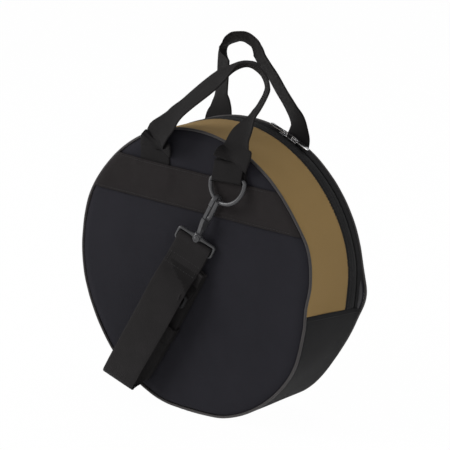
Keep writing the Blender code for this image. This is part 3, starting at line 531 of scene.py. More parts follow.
def wallPiece(name, near, far, material, upper=True, **own):
    # own: the piece's values in place of the wall's; without an edgeDrop it is plain padding
    w = {**wallSettings, **own}
    inset, steps = w["inset"], w["steps"]
    levels = [near + (far - near) * (1 - cos(pi * i / steps)) / 2 for i in range(steps + 1)]
    slack = w["overlap"] / case["radius"]
    spans = ceil(pi * (1.1 if upper else 0.95) / w["step"])  # the upper part spans a little over half
    rows = []
    for i in range(spans + 1):
        share = i / spans
        outer, inner = [], []
        for y in levels:
            start = seamAngleAt(y, not upper) - slack
            end = seamAngleAt(y, upper) + (0 if upper else 2 * pi) + slack
            angle = start + (end - start) * share
            arc = angle * case["radius"]
            edge = min(y - near, far - y)
            dip = w["edgeDrop"] * max(0, 1 - edge / w["edgeSoft"]) ** 2
            pucker = w["pucker"] * sin(2 * pi * arc / w["puckerPitch"])
            ripple = pucker * exp(-edge / w["puckerFade"])
            ripple += w["wave"] * noise.noise(Vector((arc * 28, y * 30, inset * 50)))
            fromEnd = min(share, 1 - share) * (end - start) * case["radius"]
            hem = w["hem"] * max(0, 1 - fromEnd / w["hemSoft"]) ** 2
            if not w["edgeDrop"]:
                ripple = hem = 0
            outer.append(rimPoint(angle, y, inset + dip + hem - ripple, inset + 0.0002))
            inner.append(rimPoint(angle, y, inset + w["thickness"], inset + w["thickness"]))
        rows.append(outer + inner[::-1])
    across = levels + [level + 1 for level in levels[::-1]] + [near + 2]
    along = [i * (case["radius"] * pi * 1.1 / spans) for i in range(spans + 1)]
    return gridPiece(name, rows, across, along, [material])


w = wallSettings
khakiSide = wallPiece("khakiSide", w["front"], w["khakiEdge"], cloths["khakiCloth"], inset=0.0004, steps=20)
place(khakiSide, "case", "khaki_cloth", "khaki_gusset")
lowerSide = wallPiece("lowerSide", w["front"], w["rear"], cloths["blackCloth"], upper=False, overlap=0.002,
                      inset=-0.0006, thickness=0.0016, steps=26)
place(lowerSide, "case", "black_cloth", "lower_gusset")
zipStrip = wallPiece("zipStrip", w["khakiEdge"] + 0.0001, w["stripEdge"], cloths["blackCloth"])
place(zipStrip, "case", "black_cloth", "zip_strip_front")
zipTapeFront = wallPiece("zipTapeFront", w["stripEdge"] + 0.0001, w["tapeEdge"], cloths["zipperTape"],
                         inset=0.0003)
place(zipTapeFront, "case", "zipper", "zip_tape_front")
zipTapeRear = wallPiece("zipTapeRear", w["rearTape"], w["rear"], cloths["blackCloth"], overlap=0.001,
                        inset=0.0002, steps=10)
placeFolded(zipTapeRear, "black_cloth", "zip_tape_rear")
print("side made")

paddingSettings = {"front": -0.0369, "upperRear": 0.0298, "lowerRear": 0.0369}
plain = {"overlap": 0.0, "edgeDrop": 0, "steps": 6}
front, lining = paddingSettings["front"], cloths["liningCloth"]
upperPadding = wallPiece("upperPadding", front, paddingSettings["upperRear"], lining, inset=0.0019,
                         thickness=0.0049, **plain)
place(upperPadding, "case", "lining_cloth", "gusset_foam_upper", "gusset_lining_upper")
lowerPadding = wallPiece("lowerPadding", front, paddingSettings["lowerRear"], lining, upper=False,
                         inset=0.0017, thickness=0.0051, **plain)
place(lowerPadding, "case", "lining_cloth", "gusset_foam_lower", "gusset_lining_lower")

bindingSettings = {"radius": 0.1421, "thick": 0.0009, "width": 0.0026, "level": 0.0355, "lift": 0.0079,
                   "steps": 120, "front": (0, 360), "rear": (189.5, 350.5)}


def bindingPiece(word, side):
    b, ring, points = bindingSettings, word == "front", []
    start, end = [radians(angle) for angle in b[word]]
    for i in range(b["steps"] if ring else b["steps"] + 1):
        angle = start + (end - start) * i / b["steps"]
        height = case["centre"] + b["radius"] * sin(angle)
        points.append(Vector((b["radius"] * cos(angle), side * b["level"], softMax(height, b["lift"]))))
    profile = flatProfile(b["width"], b["thick"], 4)
    return sweepPiece(word + "Binding", points, Vector((0, 1, 0)), profile, [webbing], ring)


for word, side, _ in faceSides:
    place(bindingPiece(word, side), "case", "black_cloth", word + "_seam_binding")

# zipper coils, hundreds of small loops along each tape
coilSettings = {"pitch": 0.0014, "depth": 0.0021, "length": 0.0022, "radius": 0.00042, "inset": 0.00265,
                "front": 0.0328, "rear": 0.0352, "steps": 160}


def repeatTree(name, material, sizes):
    # instances of a rounded body along a path, turned along it
    tree = bpy.data.node_groups.new(name, "GeometryNodeTree")
    for label, way in (("Path", "INPUT"), ("Geometry", "OUTPUT")):
        tree.interface.new_socket(label, in_out=way, socket_type="NodeSocketGeometry")
    for label, value in sizes.items():
        socket = tree.interface.new_socket(label, in_out="INPUT", socket_type="NodeSocketFloat")
        socket.default_value = value
    nodes = tree.nodes
    source, result = nodes.new("NodeGroupInput"), nodes.new("NodeGroupOutput")
    align, size = nodes.new("FunctionNodeAlignRotationToVector"), nodes.new("ShaderNodeCombineXYZ")
    toCurve, resample, tangent, body, copies, real, paint = [nodes.new("GeometryNode" + kind) for kind in (
        "MeshToCurve", "ResampleCurve", "InputTangent", "MeshUVSphere", "InstanceOnPoints",
        "RealizeInstances", "SetMaterial",
    )]
    resample.mode, align.axis = "LENGTH", "X"
    for label, value in (("Segments", 6), ("Rings", 4), ("Radius", 1)):
        body.inputs[label].default_value = value
    paint.inputs["Material"].default_value = material
    for giver, output, taker, entry in (
        (source, "Path", toCurve, "Mesh"), (toCurve, "Curve", resample, "Curve"),
        (source, "Pitch", resample, "Length"), (resample, "Curve", copies, "Points"),
        (body, "Mesh", copies, "Instance"), (tangent, "Tangent", align, "Vector"),
        (align, "Rotation", copies, "Rotation"), (source, "Half length", size, "X"),
        (source, "Half width", size, "Y"), (source, "Half height", size, "Z"),
        (size, "Vector", copies, "Scale"), (copies, "Instances", real, "Geometry"),
        (real, "Geometry", paint, "Geometry"), (paint, "Geometry", result, "Geometry"),
    ):
        tree.links.new(giver.outputs[output], taker.inputs[entry])
    return tree


def repeatAlong(name, paths, tree):
    corners, edges = [], []
    for path in paths:
        first = len(corners)
        corners += path
        edges += [(first + i, first + i + 1) for i in range(len(path) - 1)]
    mesh = bpy.data.meshes.new(name + "Path")
    mesh.from_pydata(corners, edges, [])
    guide = newObject(name + "Path", mesh)
    modifier = guide.modifiers.new(name, "NODES")
    modifier.node_group = tree
    for item in tree.interface.items_tree:
        if item.in_out == "INPUT" and item.socket_type == "NodeSocketFloat":
            modifier[item.identifier] = item.default_value
    evaluated = guide.evaluated_get(bpy.context.evaluated_depsgraph_get())
    made = bpy.data.meshes.new_from_object(evaluated)
    made.name = name
    made.polygons.foreach_set("use_smooth", [True] * len(made.polygons))
    bpy.data.objects.remove(guide, do_unlink=True)
    return newObject(name, made)


coilTree = repeatTree("zipperCoilLoops", coilPlastic, {
    "Pitch": coilSettings["pitch"],
    "Half length": coilSettings["radius"],
    "Half width": coilSettings["length"] / 2,
    "Half height": coilSettings["depth"] / 2,
})
coilFront, coilRear = [
    repeatAlong(name, [rimPath(coilSettings[word], coilSettings["steps"], coilSettings["inset"])], coilTree)
    for name, word in (("coilFront", "front"), ("coilRear", "rear"))
]
place(coilFront, "case", "zipper", "zip_coil_front")
placeFolded(coilRear, "zipper", "zip_coil_rear")
print("zipper made")

# bands across both panels, with turned hems
bandSettings = {
    "edges": {"front": (0.2168, -0.052, 0.2570, -0.066), "rear": (0.2110, 0, 0.2519, 0)},
    "gap": 0.0007, "thickness": 0.0011, "hem": 0.0070, "hemRise": 0.0005,
    "endHalf": 0.0200,  # half width of the handles' ends under the band
    "endRise": 0.0013, "endSpread": 0.010, "endFrom": 0.2300, "endOver": 0.006, "roll": 0.010,
    "rollDrop": 0.0026, "sag": 0.0005, "groove": 0.00035, "grooveHalf": 0.0007, "stitchIn": 0.0022,
    "hemSoft": 0.0012, "edgeSoft": 0.0010, "pucker": 0.00018, "puckerPitch": 0.0011, "puckerFade": 0.004,
    "beyond": 0.0008,  # how far the band's ends reach past the panel's edge
    "follow": 0.9,  # share of the rim's swells that they follow
    "steps": 150, "seamSteps": 120, "seamEnd": 0.004, "seamRoll": 0.002, "seamIn": 0.0001,
    "shares": (0, 0.02, 0.06, 0.12, 0.17, 0.22, 0.35, 0.5, 0.65, 0.78, 0.83, 0.88, 0.94, 0.98, 1),
    "seams": (0.055, 0.945),
}


def bandOut(x, z, side, middles):
    b = bandSettings
    rise = 0
    for middle in middles:
        near = max(0, 1 - max(0, abs(x - middle) - b["endHalf"]) / b["endSpread"])
        foot = unit((z - b["endFrom"]) / b["endOver"])
        rise = max(rise, b["endRise"] * near * near * (3 - 2 * near) * foot)
    sag = b["sag"] * noise.noise(Vector((x * 30, side * 7, z * 55)))
    return panelOut(x, z, side) + b["gap"] + rise + sag


def bandLevel(word, share, x):
    # height of the band's cloth, its edges running slightly downhill to the right
    low, lowSlope, high, highSlope = bandSettings["edges"][word]
    bottom, top = low + lowSlope * x, high + highSlope * x
    return bottom + (top - bottom) * share


def bandReach(word, share, sign):
    # how far the band goes to one side until it meets the rim
    radius, reach = panelSettings["edgeRadius"] + bandSettings["beyond"], 0.12
    for _ in range(5):
        reach = sqrt(radius ** 2 - (bandLevel(word, share, sign * reach) - case["centre"]) ** 2)
    return reach


def bandPiece(word, side, body):
    b, shares, middles = bandSettings, bandSettings["shares"], handleFeet[word]
    rows = []
    for i in range(b["steps"] + 1):
        outer, inner = [], []
        for share in shares:
            left, right = bandReach(word, share, -1), bandReach(word, share, 1)
            x = -left + (left + right) * i / b["steps"]
            reach = right if x > 0 else left
            z = bandLevel(word, share, x)
            swell = swellAt(atan2(z - case["centre"], x), side * case["face"])
            near = bandOut(x, z, side, middles)
            rollIn = max(0, (abs(x) - (reach - b["roll"])) / b["roll"])
            near -= b["rollDrop"] * rollIn ** panelSettings["rollCurve"]
            toEdge = min(share, 1 - share) * (bandLevel(word, 1, x) - bandLevel(word, 0, x))
            hem = b["hemRise"] * (1 - unit((toEdge - b["hem"]) / b["hemSoft"]))
            hem -= b["hemRise"] * max(0, 1 - toEdge / b["edgeSoft"])
            groove = b["groove"] * exp(-(((toEdge - b["stitchIn"]) / b["grooveHalf"]) ** 2))
            pucker = b["pucker"] * sin(x / b["puckerPitch"]) * exp(-toEdge / b["puckerFade"])
            x += swell * x / reach * b["follow"]
            outer.append(Vector((x, side * (near + b["thickness"] + hem - groove + pucker), z)))
            inner.append(Vector((x, side * near, z)))
        rows.append(outer + inner[::-1])
    heights = [bandLevel(word, share, 0) for share in shares]
    across = heights + [height + 1 for height in heights[::-1]] + [heights[0] + 2]
    along = [0.25 * i / b["steps"] for i in range(b["steps"] + 1)]
    piece = gridPiece(word + "Band", rows, across, along, [cloths["bandCloth"]])
    place(piece, body, "black_webbing", word + "_band")
    for share in b["seams"]:
        left, right = [bandReach(word, share, sign) - b["seamEnd"] for sign in (-1, 1)]
        line = []
        for i in range(b["seamSteps"] + 1):
            x = -left + (left + right) * i / b["seamSteps"]
            z = bandLevel(word, share, x)
            out = bandOut(x, z, side, middles) + b["thickness"] + b["hemRise"] - b["seamIn"]
            rollIn = max(0, (abs(x) - (min(left, right) - b["seamRoll"])) / b["roll"])
            out -= b["rollDrop"] * rollIn ** panelSettings["rollCurve"]
            line.append(Vector((x, side * out, z)))
        stitchAlong(body, line)


handleFeet = {"front": (-0.0465, 0.0535), "rear": (-0.040, 0.060)}
for word, side, body in faceSides:
    bandPiece(word, side, body)
print("bands made")

# carrying handles, each one unbroken strip of webbing from tucked end to tucked end
handleSettings = {
    "width": 0.038, "thickness": 0.0017, "foot": 0.2684, "tuck": 0.034, "spacing": 0.100, "stand": 0.0010,
    "lean": 0.013, "steps": 5,
    "bendFrom": 0.276,  # the webbing bends between this height and a little above its hinge
    "bendAbove": 0.012,
}
# rows: sideways / half spacing, height / rise, outwards / lean, width direction in turns, its dip if any
handleRows = {
    "front": {"offset": 0.0035, "rise": 0.1005, "hinge": 0.31365, "rows": (
        (-.95, 0, 0, .5), (-.95, .05, 0, .5, .04), (-.91, .075, .10, .495, .07),
        (-.84, .10, .26, .485, .07), (-.76, .14, .45, .465, .05), (-.74, .20, .60, .445),
        (-.58, .28, .65, .43), (-.42, .36, .60, .42), (-.24, .465, .45, .405), (-.01, .58, .08, .405),
        (.29, .71, -.31, .41), (.60, .83, -.62, .405), (.80, .895, -.85, .385),
        (1.02, .945, -.92, .37, -.05), (1.22, .965, -.92, .37, -.08), (1.40, .945, -.88, .385, -.07),
        (1.58, .90, -.77, .39), (1.71, .835, -.62, .38), (1.76, .765, -.46, .37), (1.75, .70, -.23, .36),
        (1.67, .62, -.08, .36), (1.60, .555, .08, .36), (1.55, .50, .15, .37), (1.48, .425, .23, .39),
        (1.37, .34, .27, .42), (1.28, .26, .30, .455), (1.24, .18, .38, .485), (1.20, .125, .45, .49, .05),
        (1.15, .088, .44, .495, .09), (1.10, .066, .36, .5, .10), (1.04, .052, .16, .5, .09),
        (1.01, .035, 0, .5, .05), (1, 0, 0, .5))},
    "rear": {"offset": 0.010, "rise": 0.116, "hinge": 0.31483, "rows": (
        (-1, 0, 0, .495), (-.98, .08, .08, .495), (-.95, .19, .15, .485), (-.92, .27, .25, .46),
        (-.92, .35, .35, .435), (-.93, .42, .42, .41), (-.92, .49, .45, .405), (-.90, .60, .45, .405),
        (-.88, .70, .42, .405, -.03), (-.85, .785, .40, .405, -.12), (-.77, .85, .38, .40, -.36),
        (-.66, .885, .37, .40, -.44), (-.53, .913, .36, .40, -.40), (-.38, .925, .34, .41, -.30),
        (-.20, .915, .34, .41, -.22), (-.06, .88, .34, .41, -.14), (.04, .83, .34, .41, -.07),
        (.14, .77, .34, .41, -.02), (.28, .70, .35, .41), (.43, .623, .37, .41), (.62, .512, .40, .41),
        (.81, .405, .42, .41), (.94, .33, .38, .41), (1.04, .265, .30, .42), (1.09, .20, .22, .43),
        (1.10, .13, .15, .455), (1.06, .06, .06, .475), (1, 0, 0, .5))},
}


def lineLength(points):
    return sum((b - a).length for a, b in zip(points, points[1:]))


def handlePiece(word, side):
    h, own, rows = handleSettings, handleRows[word], []
    level = case["face"] + h["stand"]
    for across, up, out, turn, *dip in own["rows"]:
        rows.append((own["offset"] + across * h["spacing"] / 2, side * (level + out * h["lean"]),
                     h["foot"] + up * own["rise"], turn, *(dip or [0])))
    lows = (h["tuck"] / 2, h["tuck"] - 0.004)  # the tucked ends go straight down
    start, end = [[(row[0], row[1], row[2] - low, *row[3:]) for low in lows] for row in (rows[0], rows[-1])]
    path = smoothRows(start[::-1] + rows + end, h["steps"])
    points = [Vector(row[:3]) for row in path]
    sideways = []
    for _, _, _, turn, dip in path:
        sideways.append(Vector((cos(2 * pi * turn), sin(2 * pi * turn), dip)))
    profile, length = flatProfile(h["width"], h["thickness"], 12), lineLength(points)
    piece = sweepPiece(word + "Handle", points, sideways, profile, [shadedWebbing])
    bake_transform(piece)
    parts = ("loop", "bend_left", "bend_right", "end_left", "end_right")
    finishPlace(piece, "black_webbing", *(f"{word}_handle_{part}" for part in parts))
    print(word, "handle cut from", round(length, 3), "m of webbing")


for word, side, body in faceSides:
    handlePiece(word, side)
print("handles made")

# D-rings and their webbing tabs
ringSettings = {"wire": 0.002, "width": 0.046, "height": 0.0285, "corner": 0.0045, "bar": 0.25603,
                "level": 0.0507, "front": (0.0535, radians(13.5)), "rear": (-0.040, 0)}


def ringPiece(word, side):
    r = ringSettings
    middle, tilt = r[word]
    half, top = r["width"] / 2 - r["wire"], r["bar"]
    bow = top + 2 * r["wire"] - r["height"] + half
    corner = min(r["corner"], (top - bow) * 0.95)
    outline = arcSpots((middle - half + corner, top - corner), corner, pi, pi / 2, 6)
    outline += arcSpots((middle + half - corner, top - corner), corner, pi / 2, 0, 6)
    outline += arcSpots((middle, bow), half, 0, -pi, 40)
    pivot = Vector((middle, side * r["level"], top))
    lean = Matrix.Translation(pivot) @ Matrix.Rotation(side * tilt, 4, "X") @ Matrix.Translation(-pivot)
    points = [lean @ Vector((x, side * r["level"], z)) for x, z in outline]
    facing = (lean.to_3x3() @ Vector((0, 1, 0))).normalized()
    profile = roundProfile(r["wire"], 14)
    ring = sweepPiece(word + "Ring", points, facing, profile, [darkPlastic], ring=True)
    place(ring, word + "_ring", "dark_hardware", word + "_d_ring")


for word, side, _ in faceSides:
    ringPiece(word, side)

tabSettings = {"width": 0.0365, "thickness": 0.0013, "inner": 0.0477, "top": 0.2735, "converge": 0.0035,
               "stitchLevel": 0.2658, "stitchIn": 0.003}


def tabPiece(word, side, body):
    t, r, middle = tabSettings, ringSettings, ringSettings[word][0]
    radius = r["level"] - t["inner"]
    outer = t["inner"] + t["thickness"] + 0.0004
    meet = (outer, t["top"] - t["converge"])
    reach = (meet[0] - r["level"], meet[1] - r["bar"])
    leave = atan2(reach[1], reach[0]) - acos(radius / hypot(*reach))
    spots = [(t["inner"], t["top"]), (t["inner"], (t["top"] + r["bar"]) / 2)]
    spots += arcSpots((r["level"], r["bar"]), radius, -pi, leave, 14) + [meet, (outer, t["top"])]
    points = [Vector((middle, side * y, z)) for y, z in spots]
    profile = flatProfile(t["width"], t["thickness"], 12)
    piece = sweepPiece(word + "Tab", points, Vector((1, 0, 0)), profile, [shadedWebbing])
    place(piece, body, "black_webbing", word + "_d_ring_tab")
    half, out = t["width"] / 2 - t["stitchIn"], side * (outer + t["thickness"] / 2)
    stitchAlong(body, [Vector((middle - half + 2 * half * i / 12, out, t["stitchLevel"])) for i in range(13)])


for word, side, body in faceSides:
    tabPiece(word, side, body)
print("rings and tabs made")

# hard parts that keep the frame's own shape, with their edges rounded
hardSettings = {"hookBevel": 0.0007, "zipBevel": 0.00022, "segments": 3}


def roundedCopy(name, node, body, slot, material, bevel):
    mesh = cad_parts[node].data.copy()
    mesh.name = name
    shape = bmesh.new()
    shape.from_mesh(mesh)
    bmesh.ops.remove_doubles(shape, verts=shape.verts, dist=1e-6)
    bmesh.ops.dissolve_limit(shape, angle_limit=radians(1), verts=shape.verts, edges=shape.edges)
    sharp = [edge for edge in shape.edges if edge.is_manifold and edge.calc_face_angle(0) > radians(30)]
    bmesh.ops.bevel(shape, geom=sharp, offset=bevel, segments=hardSettings["segments"], profile=0.5,
                    affect="EDGES", clamp_overlap=True)
    bmesh.ops.triangulate(shape, faces=[face for face in shape.faces if len(face.verts) > 4])
    bmesh.ops.recalc_face_normals(shape, faces=shape.faces)
    shape.to_mesh(mesh)
    shape.free()
    mesh.materials.clear()
    mesh.materials.append(material)
    mesh.polygons.foreach_set("use_smooth", [True] * len(mesh.polygons))
    mesh.set_sharp_from_angle(angle=radians(50))
    place(newObject(name, mesh), body, slot, node)


# the spare hook and gate take the shaded copy, painted shade
for prefix, material in (("front", darkPlastic), ("spare", shadedPlastic)):
    for part, body in (("body", "hook"), ("gate", "gate")):
        roundedCopy(f"{prefix}Hook{part.capitalize()}", f"{prefix}_hook_{part}", f"{prefix}_{body}",
                    "dark_hardware", material, hardSettings["hookBevel"])
for hand in ("right", "left"):
    for part in ("slider", "pull"):
        roundedCopy(part + hand.capitalize(), f"zip_{part}_{hand}", f"{part}_{hand}", "bright_metal",
                    brightMetal, hardSettings["zipBevel"])
print("hooks and sliders made")

# shoulder strap, folded up under its hook
strapSettings = {
    "hold": (0.043, -0.05576, 0.23494),
    "tilt": radians(30), "bar": -0.0606, "crest": -0.0550, "hang": 0.181, "wrap": 0.0035, "bulge": 0.019,
    "rearLayer": 0.0068, "pitch": 0.0024, "tail": 0.026, "stackTop": 0.020, "stackFoot": 0.014,
    "stackShift": 0.007,  # the layers behind lie a little to the right
    "spareDrop": 0.0475, "spareStand": 0.0064, "spareAside": 0.003, "width": 0.038, "thickness": 0.0014,
    "shiftOver": 0.03,  # over this height from the front fold
    "shiftFrom": 0.3,  # share of the layers' length up to which that height counts
    "shiftBack": 0.12,  # share at its end over which it comes back
    "longer": 0.001,  # the fold hangs a little lower than the frame's
    "slant": 0.003,  # left edge of the fold lower than the right one
    "drift": -0.0045,
    "nearest": 0.0078,  # the loop's turned corner stays off the case
    "twist": radians(17),  # the yoke and the loop on it stand a little turned about the hook
    "untwist": 0.35,  # share of it that the loop loses
    "untwistFrom": 0.08, "untwistOver": 0.1, "ripple": 0.0010,
    "shadedFrom": -0.0115,  # layers nearer the case than this are of the darker webbing, painted shade between the layers
    "stitchIn": 0.003,
}


def strapSpots():
    # (outwards, height) along the middle of the webbing, from its sewn end over the hook's bar
    s = strapSettings
    bar, wrap, bulge, tail, hang = s["bar"], s["wrap"], s["bulge"], s["tail"], s["hang"]
    foot, turnHeight = bar - hang, bar - hang + s["stackFoot"] / 2
    layers = [s["rearLayer"] - i * s["pitch"] for i in range(4)]
    tight, close = s["pitch"] / 2, s["thickness"] + 0.0003
    front = [(-wrap, s["crest"]), (-wrap, bar), (-wrap - close, bar - tail / 2), (-bulge / 2, bar - tail),
             (-bulge, bar - hang * 0.28), (-bulge, bar - hang * 0.7), (-bulge * 0.8, turnHeight)]
    spots = [(-bulge / 2 + close, bar - tail), (-close / 2, bar - tail / 2), (wrap, bar - wrap)]
    spots += arcSpots((0, s["crest"]), wrap, 0, pi, 12) + smoothRows(front, 10)[1:]
    sweep, bow = (layers[0] + front[-1][0]) / 2, (layers[0] - front[-1][0]) / 2
    spots += arcSpots((sweep, turnHeight), bow, pi, 2 * pi, 16)[1:]
    top, low = bar - s["stackTop"], foot + s["stackFoot"]

    def run(y, start, end):
        return [(y, start + (end - start) * i / 24) for i in range(1, 24)]

    spots += run(layers[0], spots[-1][1], top)
    spots += arcSpots((layers[0] - tight, top), tight, 0, pi, 8) + run(layers[1], top, low)
    spots += arcSpots((layers[1] - tight, low), tight, 0, -pi, 8) + run(layers[2], low, top)
    spots += arcSpots((layers[2] - tight, top), tight, 0, pi, 8)
    barY, barZ = -s["spareStand"], bar - s["spareDrop"]
    spots += run(layers[3], top, barZ + tail / 2)
    spots += arcSpots((barY, barZ), wrap, 0, -pi, 12) + [(barY - wrap, barZ + wrap)]
    spots += [(layers[3] - 2 * close, barZ + tail / 2), (layers[3] - close, barZ + tail)]
    return spots


strapFrame = Matrix.Translation(strapSettings["hold"]) @ Matrix.Rotation(strapSettings["tilt"], 4, "Y")
strapBack = strapFrame.inverted()

# yokes: a moulded frame with a barrel for the hook's stem and a round boss in front
yokeSettings = {
    "half": 0.0206, "crossbar": -0.0481, "bar": -0.0606, "corner": 0.0022, "wire": 0.0015, "deep": 1.3,
    "flare": 1.3, "flareWidth": 0.0060,
    "barrel": ((0, -0.0431), (0.0031, -0.0431), (0.0041, -0.0437), (0.0044, -0.0452), (0.0044, -0.0484),
               (0.0040, -0.0497), (0.0030, -0.0502), (0, -0.0502)),
    "boss": ((0, 0.0000), (0.0036, 0.0000), (0.0038, 0.0042), (0.0034, 0.0052), (0.0026, 0.0053),
             (0.0022, 0.0047), (0.0017, 0.0056), (0, 0.0060)),
}


def turnedPiece(name, outline, matrix, material):
    # a lathe shape: (radius, height) from pole to pole about the matrix's Z
    rows = []
    for radius, height in outline[1:-1]:
        rows.append([matrix @ Vector((radius * cos(a), radius * sin(a), height)) for a in turnsRound(20)])
    poles = [matrix @ Vector((0, 0, outline[i][1])) for i in (0, -1)]
    return poledPiece(name, poles, rows, [material])


def joined(pieces):
    shape = bmesh.new()
    for piece in pieces:
        shape.from_mesh(piece.data)
    shape.to_mesh(pieces[0].data)
    shape.free()
    for piece in pieces[1:]:
        bpy.data.objects.remove(piece, do_unlink=True)
    return pieces[0]


def yokePiece(name, matrix, material):
    y = yokeSettings
    half, top, low, corner = y["half"], y["crossbar"], y["bar"], y["corner"]
    arcs = roundedBox(half, top, low, corner, corner, 5)
    crossbar = [(half - corner - (2 * half - 2 * corner) * i / 28, top) for i in range(1, 28)]
    outline = arcs[0] + crossbar + arcs[1] + arcs[2] + arcs[3]
    points = [Vector((x, 0, z)) for x, z in outline]

    def flare(spot, share):
        if spot.z > (top + low) / 2:
            spot.z = top + (spot.z - top) * (1 + y["flare"] * exp(-(spot.x / y["flareWidth"]) ** 2))
        spot.y *= y["deep"]
        return matrix @ spot

    profile = roundProfile(y["wire"], 12)
    frameRing = sweepPiece(name, points, Vector((0, 1, 0)), profile, [material], ring=True, shape=flare)
    barrel = turnedPiece(name + "Barrel", y["barrel"], matrix, material)
    outwards = matrix @ Matrix.Translation((0, 0, top + 0.0004)) @ Matrix.Rotation(pi / 2, 4, "X")
    boss = turnedPiece(name + "Boss", y["boss"], outwards, material)
    return joined([frameRing, barrel, boss])


frontFrame = strapFrame @ Matrix.Rotation(strapSettings["twist"], 4, "Z")
frontYoke = yokePiece("frontHookYoke", frontFrame, darkPlastic)
place(frontYoke, "front_yoke", "dark_hardware", "front_hook_yoke")
spareBar = (strapSettings["spareAside"], -strapSettings["spareStand"],
            strapSettings["bar"] - strapSettings["spareDrop"])
spareFrame = strapFrame @ Matrix.Translation(spareBar) @ Matrix.Rotation(pi, 4, "Y")
spareFrame = spareFrame @ Matrix.Translation((0, 0, -yokeSettings["bar"]))
spareYoke = yokePiece("spareHookYoke", spareFrame, shadedPlastic)
place(spareYoke, "spare_yoke", "dark_hardware", "spare_hook_yoke")
print("yokes made")


def strapShape(corner, share):
    s = strapSettings
    local = strapBack @ corner
    if share < foldShare:
        slack = unit((s["bar"] - s["untwistFrom"] - local.z) / s["untwistOver"])
        local.rotate(Matrix.Rotation(s["twist"] * (1 - s["untwist"] * slack), 3, "Z"))
        local.y = min(local.y, s["nearest"])
    down = max(0, (s["bar"] - local.z) / s["hang"])
    give = down * down
    local.x += s["drift"] * give
    local.z -= give * (s["longer"] - s["slant"] * local.x / s["width"])
    local.y += s["ripple"] * give * noise.noise(Vector((local.x * 40, 3, local.z * 25)))
    return strapFrame @ local


def stackShift(z, along):
    # along: share of the way from the front fold to the spare hook
    s = strapSettings
    if along <= 0:
        return 0
    raised = unit((z - s["bar"] + s["hang"]) / s["shiftOver"]) if along < s["shiftFrom"] else 1
    return s["stackShift"] * raised * min(1, (1 - along) / s["shiftBack"])


strapLine2D = strapSpots()
foldAt = min(range(len(strapLine2D)), key=lambda i: strapLine2D[i][1])
foldShare = foldAt / len(strapLine2D)
strapPoints = []
for i, (y, z) in enumerate(strapLine2D):
    along = (i - foldAt) / (len(strapLine2D) - foldAt)
    strapPoints.append(strapFrame @ Vector((stackShift(z, along), y, z)))
strapSideways = strapFrame.to_3x3() @ Vector((1, 0, 0))
strapProfile = flatProfile(strapSettings["width"], strapSettings["thickness"], 12)
strapCloths = [webbing, shadedWebbing]
strapWeb = sweepPiece("strapWeb", strapPoints, strapSideways, strapProfile, strapCloths, shape=strapShape)
stackTop = strapSettings["bar"] - strapSettings["stackTop"]
# faces of the back layers in the stack take the darker webbing: painted shade
for face in strapWeb.data.polygons:
    spot = strapBack @ face.center
    face.material_index = 1 if spot.y > strapSettings["shadedFrom"] and spot.z < stackTop else 0
place(strapWeb, "strap", "black_webbing", "shoulder_strap")

keeperSettings = {"drop": 0.112, "width": 0.020, "thickness": 0.0011, "corner": 0.0018, "gap": 0.0002}


def keeperPiece():
    s, k = strapSettings, keeperSettings
    half, stand = s["thickness"] / 2 + k["gap"], k["thickness"] / 2
    rear, front = s["rearLayer"] + half, s["rearLayer"] - 3 * s["pitch"] - half
    arcs = roundedBox(s["width"] / 2 + k["gap"], rear, front, k["corner"], k["corner"] + stand, 4)
    level = s["bar"] - k["drop"] + k["width"] / 2
    points = [strapFrame @ Vector((x + s["stackShift"], y, level)) for arc in arcs for x, y in arc]
    upwards = strapFrame.to_3x3() @ Vector((0, 0, 1))
    # the keeper is of the darker webbing: painted shade inside the bundle
    return sweepPiece("strapKeeper", points, upwards, flatProfile(k["width"], k["thickness"], 8),
                      [shadedWebbing], ring=True, shape=lambda corner, share: strapShape(corner, 1))


place(keeperPiece(), "strap", "black_webbing", "strap_keeper")


def frontLayerY(z):
    spots = [spot for spot in strapLine2D[14:foldAt] if spot[0] < 0]
    nearest = min(spots, key=lambda spot: abs(spot[1] - z))
    return nearest[0] - strapSettings["thickness"] / 2 - 0.0001


def strapSeams():
    # a stitched box where the front loop is sewn closed
    s = strapSettings
    edge, top, low = s["width"] / 2 - s["stitchIn"], s["bar"] - 0.0135, s["bar"] - s["tail"] + 0.0015
    box = ((-edge, top), (edge, top), (edge, low), (-edge, low))
    for (x0, z0), (x1, z1) in zip(box, box[1:] + box[:1]):
        line = []
        for i in range(13):
            x, z = x0 + (x1 - x0) * i / 12, z0 + (z1 - z0) * i / 12
            line.append(strapShape(strapFrame @ Vector((x, frontLayerY(z), z)), 0))
        stitchAlong("strap", line)


strapSeams()
print("strap made")

# seams round the side, then every stitch at once
seamSettings = {"before": 0.0016, "after": 0.0018, "down": 0.0026, "half": 0.041, "proud": 0.0001,
                "endProud": 0.0011}
for level in (w["khakiEdge"] - seamSettings["before"], w["khakiEdge"] + seamSettings["after"],
              w["stripEdge"] - seamSettings["before"]):
    stitchAlong("case", rimPath(level, 180, -seamSettings["proud"]))
for left in (False, True):
    down = seamSettings["down"] / case["radius"] * (1 if left else -1)
    line = []
    for i in range(31):
        level = seamSettings["half"] * (2 * i / 30 - 1)
        line.append(rimPoint(seamAngleAt(level, left) + down, level, -seamSettings["endProud"], 0))
    stitchAlong("case", line)

stitchSettings = {"Pitch": 0.0034, "Half length": 0.00135, "Half width": 0.00030, "Half height": 0.00026}
stitchTree = repeatTree("stitchRun", cloths["thread"], stitchSettings)
for body, paths in seams.items():
    stitches = repeatAlong("stitches" + body[0].upper() + body[1:], paths, stitchTree)
    place(stitches, body, "black_cloth")
print("stitches made:", {body: len(paths) for body, paths in seams.items()})

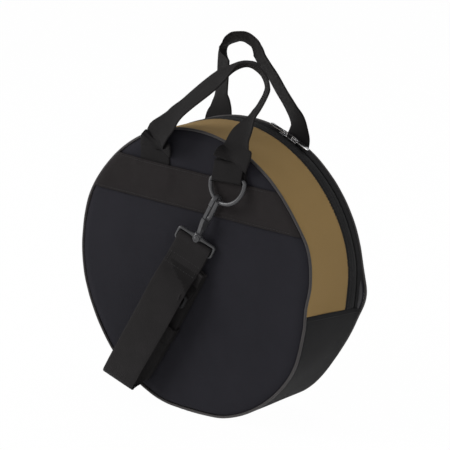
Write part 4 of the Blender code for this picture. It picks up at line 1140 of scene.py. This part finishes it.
# floor, light and camera
stageSettings = {"floor": 0.93, "floorRoughness": 0.9, "floorSeen": 0.985, "floorHalf": 4, "world": 0.42}
lampSettings = {
    "keyLamp": {"spot": (-1.8, -1.8, 1.7), "aim": (0, 0, 0.17), "size": 1.6, "power": 60},
    "fillLamp": {"spot": (2.2, -1.2, 1.0), "aim": (0, 0, 0.17), "size": 1.8, "power": 11},
    "topLamp": {"spot": (0.5, 0.9, 2.4), "aim": (0, 0, 0.2), "size": 1.4, "power": 13},
}
cameraSettings = {"azimuth": 38.65, "elevation": 14.4, "distance": 1.672, "lens": 131.28, "sensor": 36,
                  "target": (0.00915, 0.0, 0.1930)}

paleFloor = Shading(bpy.data.materials.new("paleFloor"))
paleFloor.feed(paleFloor.shader, {"Base Color": (*[stageSettings["floor"]] * 3, 1),
                                  "Roughness": stageSettings["floorRoughness"]})
glow = paleFloor.add("Emission")
paleFloor.showByRays("Is Glossy Ray", stageSettings["floorSeen"], paleFloor.shader.outputs[0],
                     glow.outputs[0])
half = stageSettings["floorHalf"]
floorCorners = [(-half, -half, 0), (half, -half, 0), (half, half, 0), (-half, half, 0)]
floorMesh = bpy.data.meshes.new("floor")
floorMesh.from_pydata(floorCorners, [], [(0, 1, 2, 3)])
floorMesh.materials.append(paleFloor.owner)
floor = newObject("floor", floorMesh)

studio = Shading(bpy.data.worlds.new("studio"))
bpy.context.scene.world = studio.owner
lit, white = studio.nodes["Background"], studio.add("Background", {0: (1, 1, 1, 1)})
studio.feed(lit, {0: (1, 1, 1, 1), 1: stageSettings["world"]})
studio.showByRays("Is Transmission Ray", 1, lit.outputs[0], white.outputs[0])

for name, own in lampSettings.items():
    lamp = bpy.data.lights.new(name, "AREA")
    lamp.size, lamp.energy = own["size"], own["power"]
    holder = newObject(name, lamp)
    holder.location = own["spot"]
    holder.rotation_euler = (Vector(own["aim"]) - Vector(own["spot"])).to_track_quat("-Z", "Y").to_euler()

azimuth, elevation = radians(cameraSettings["azimuth"]), radians(cameraSettings["elevation"])
towards = Vector((sin(azimuth) * cos(elevation), -cos(azimuth) * cos(elevation), sin(elevation)))
lens = bpy.data.cameras.new("photoCamera")
lens.lens, lens.sensor_width = cameraSettings["lens"], cameraSettings["sensor"]
camera = newObject("photoCamera", lens)
camera.location = Vector(cameraSettings["target"]) + towards * cameraSettings["distance"]
camera.rotation_euler = (-towards).to_track_quat("-Z", "Y").to_euler()
bpy.context.scene.camera = camera
bpy.context.scene.view_settings.view_transform = "Standard"
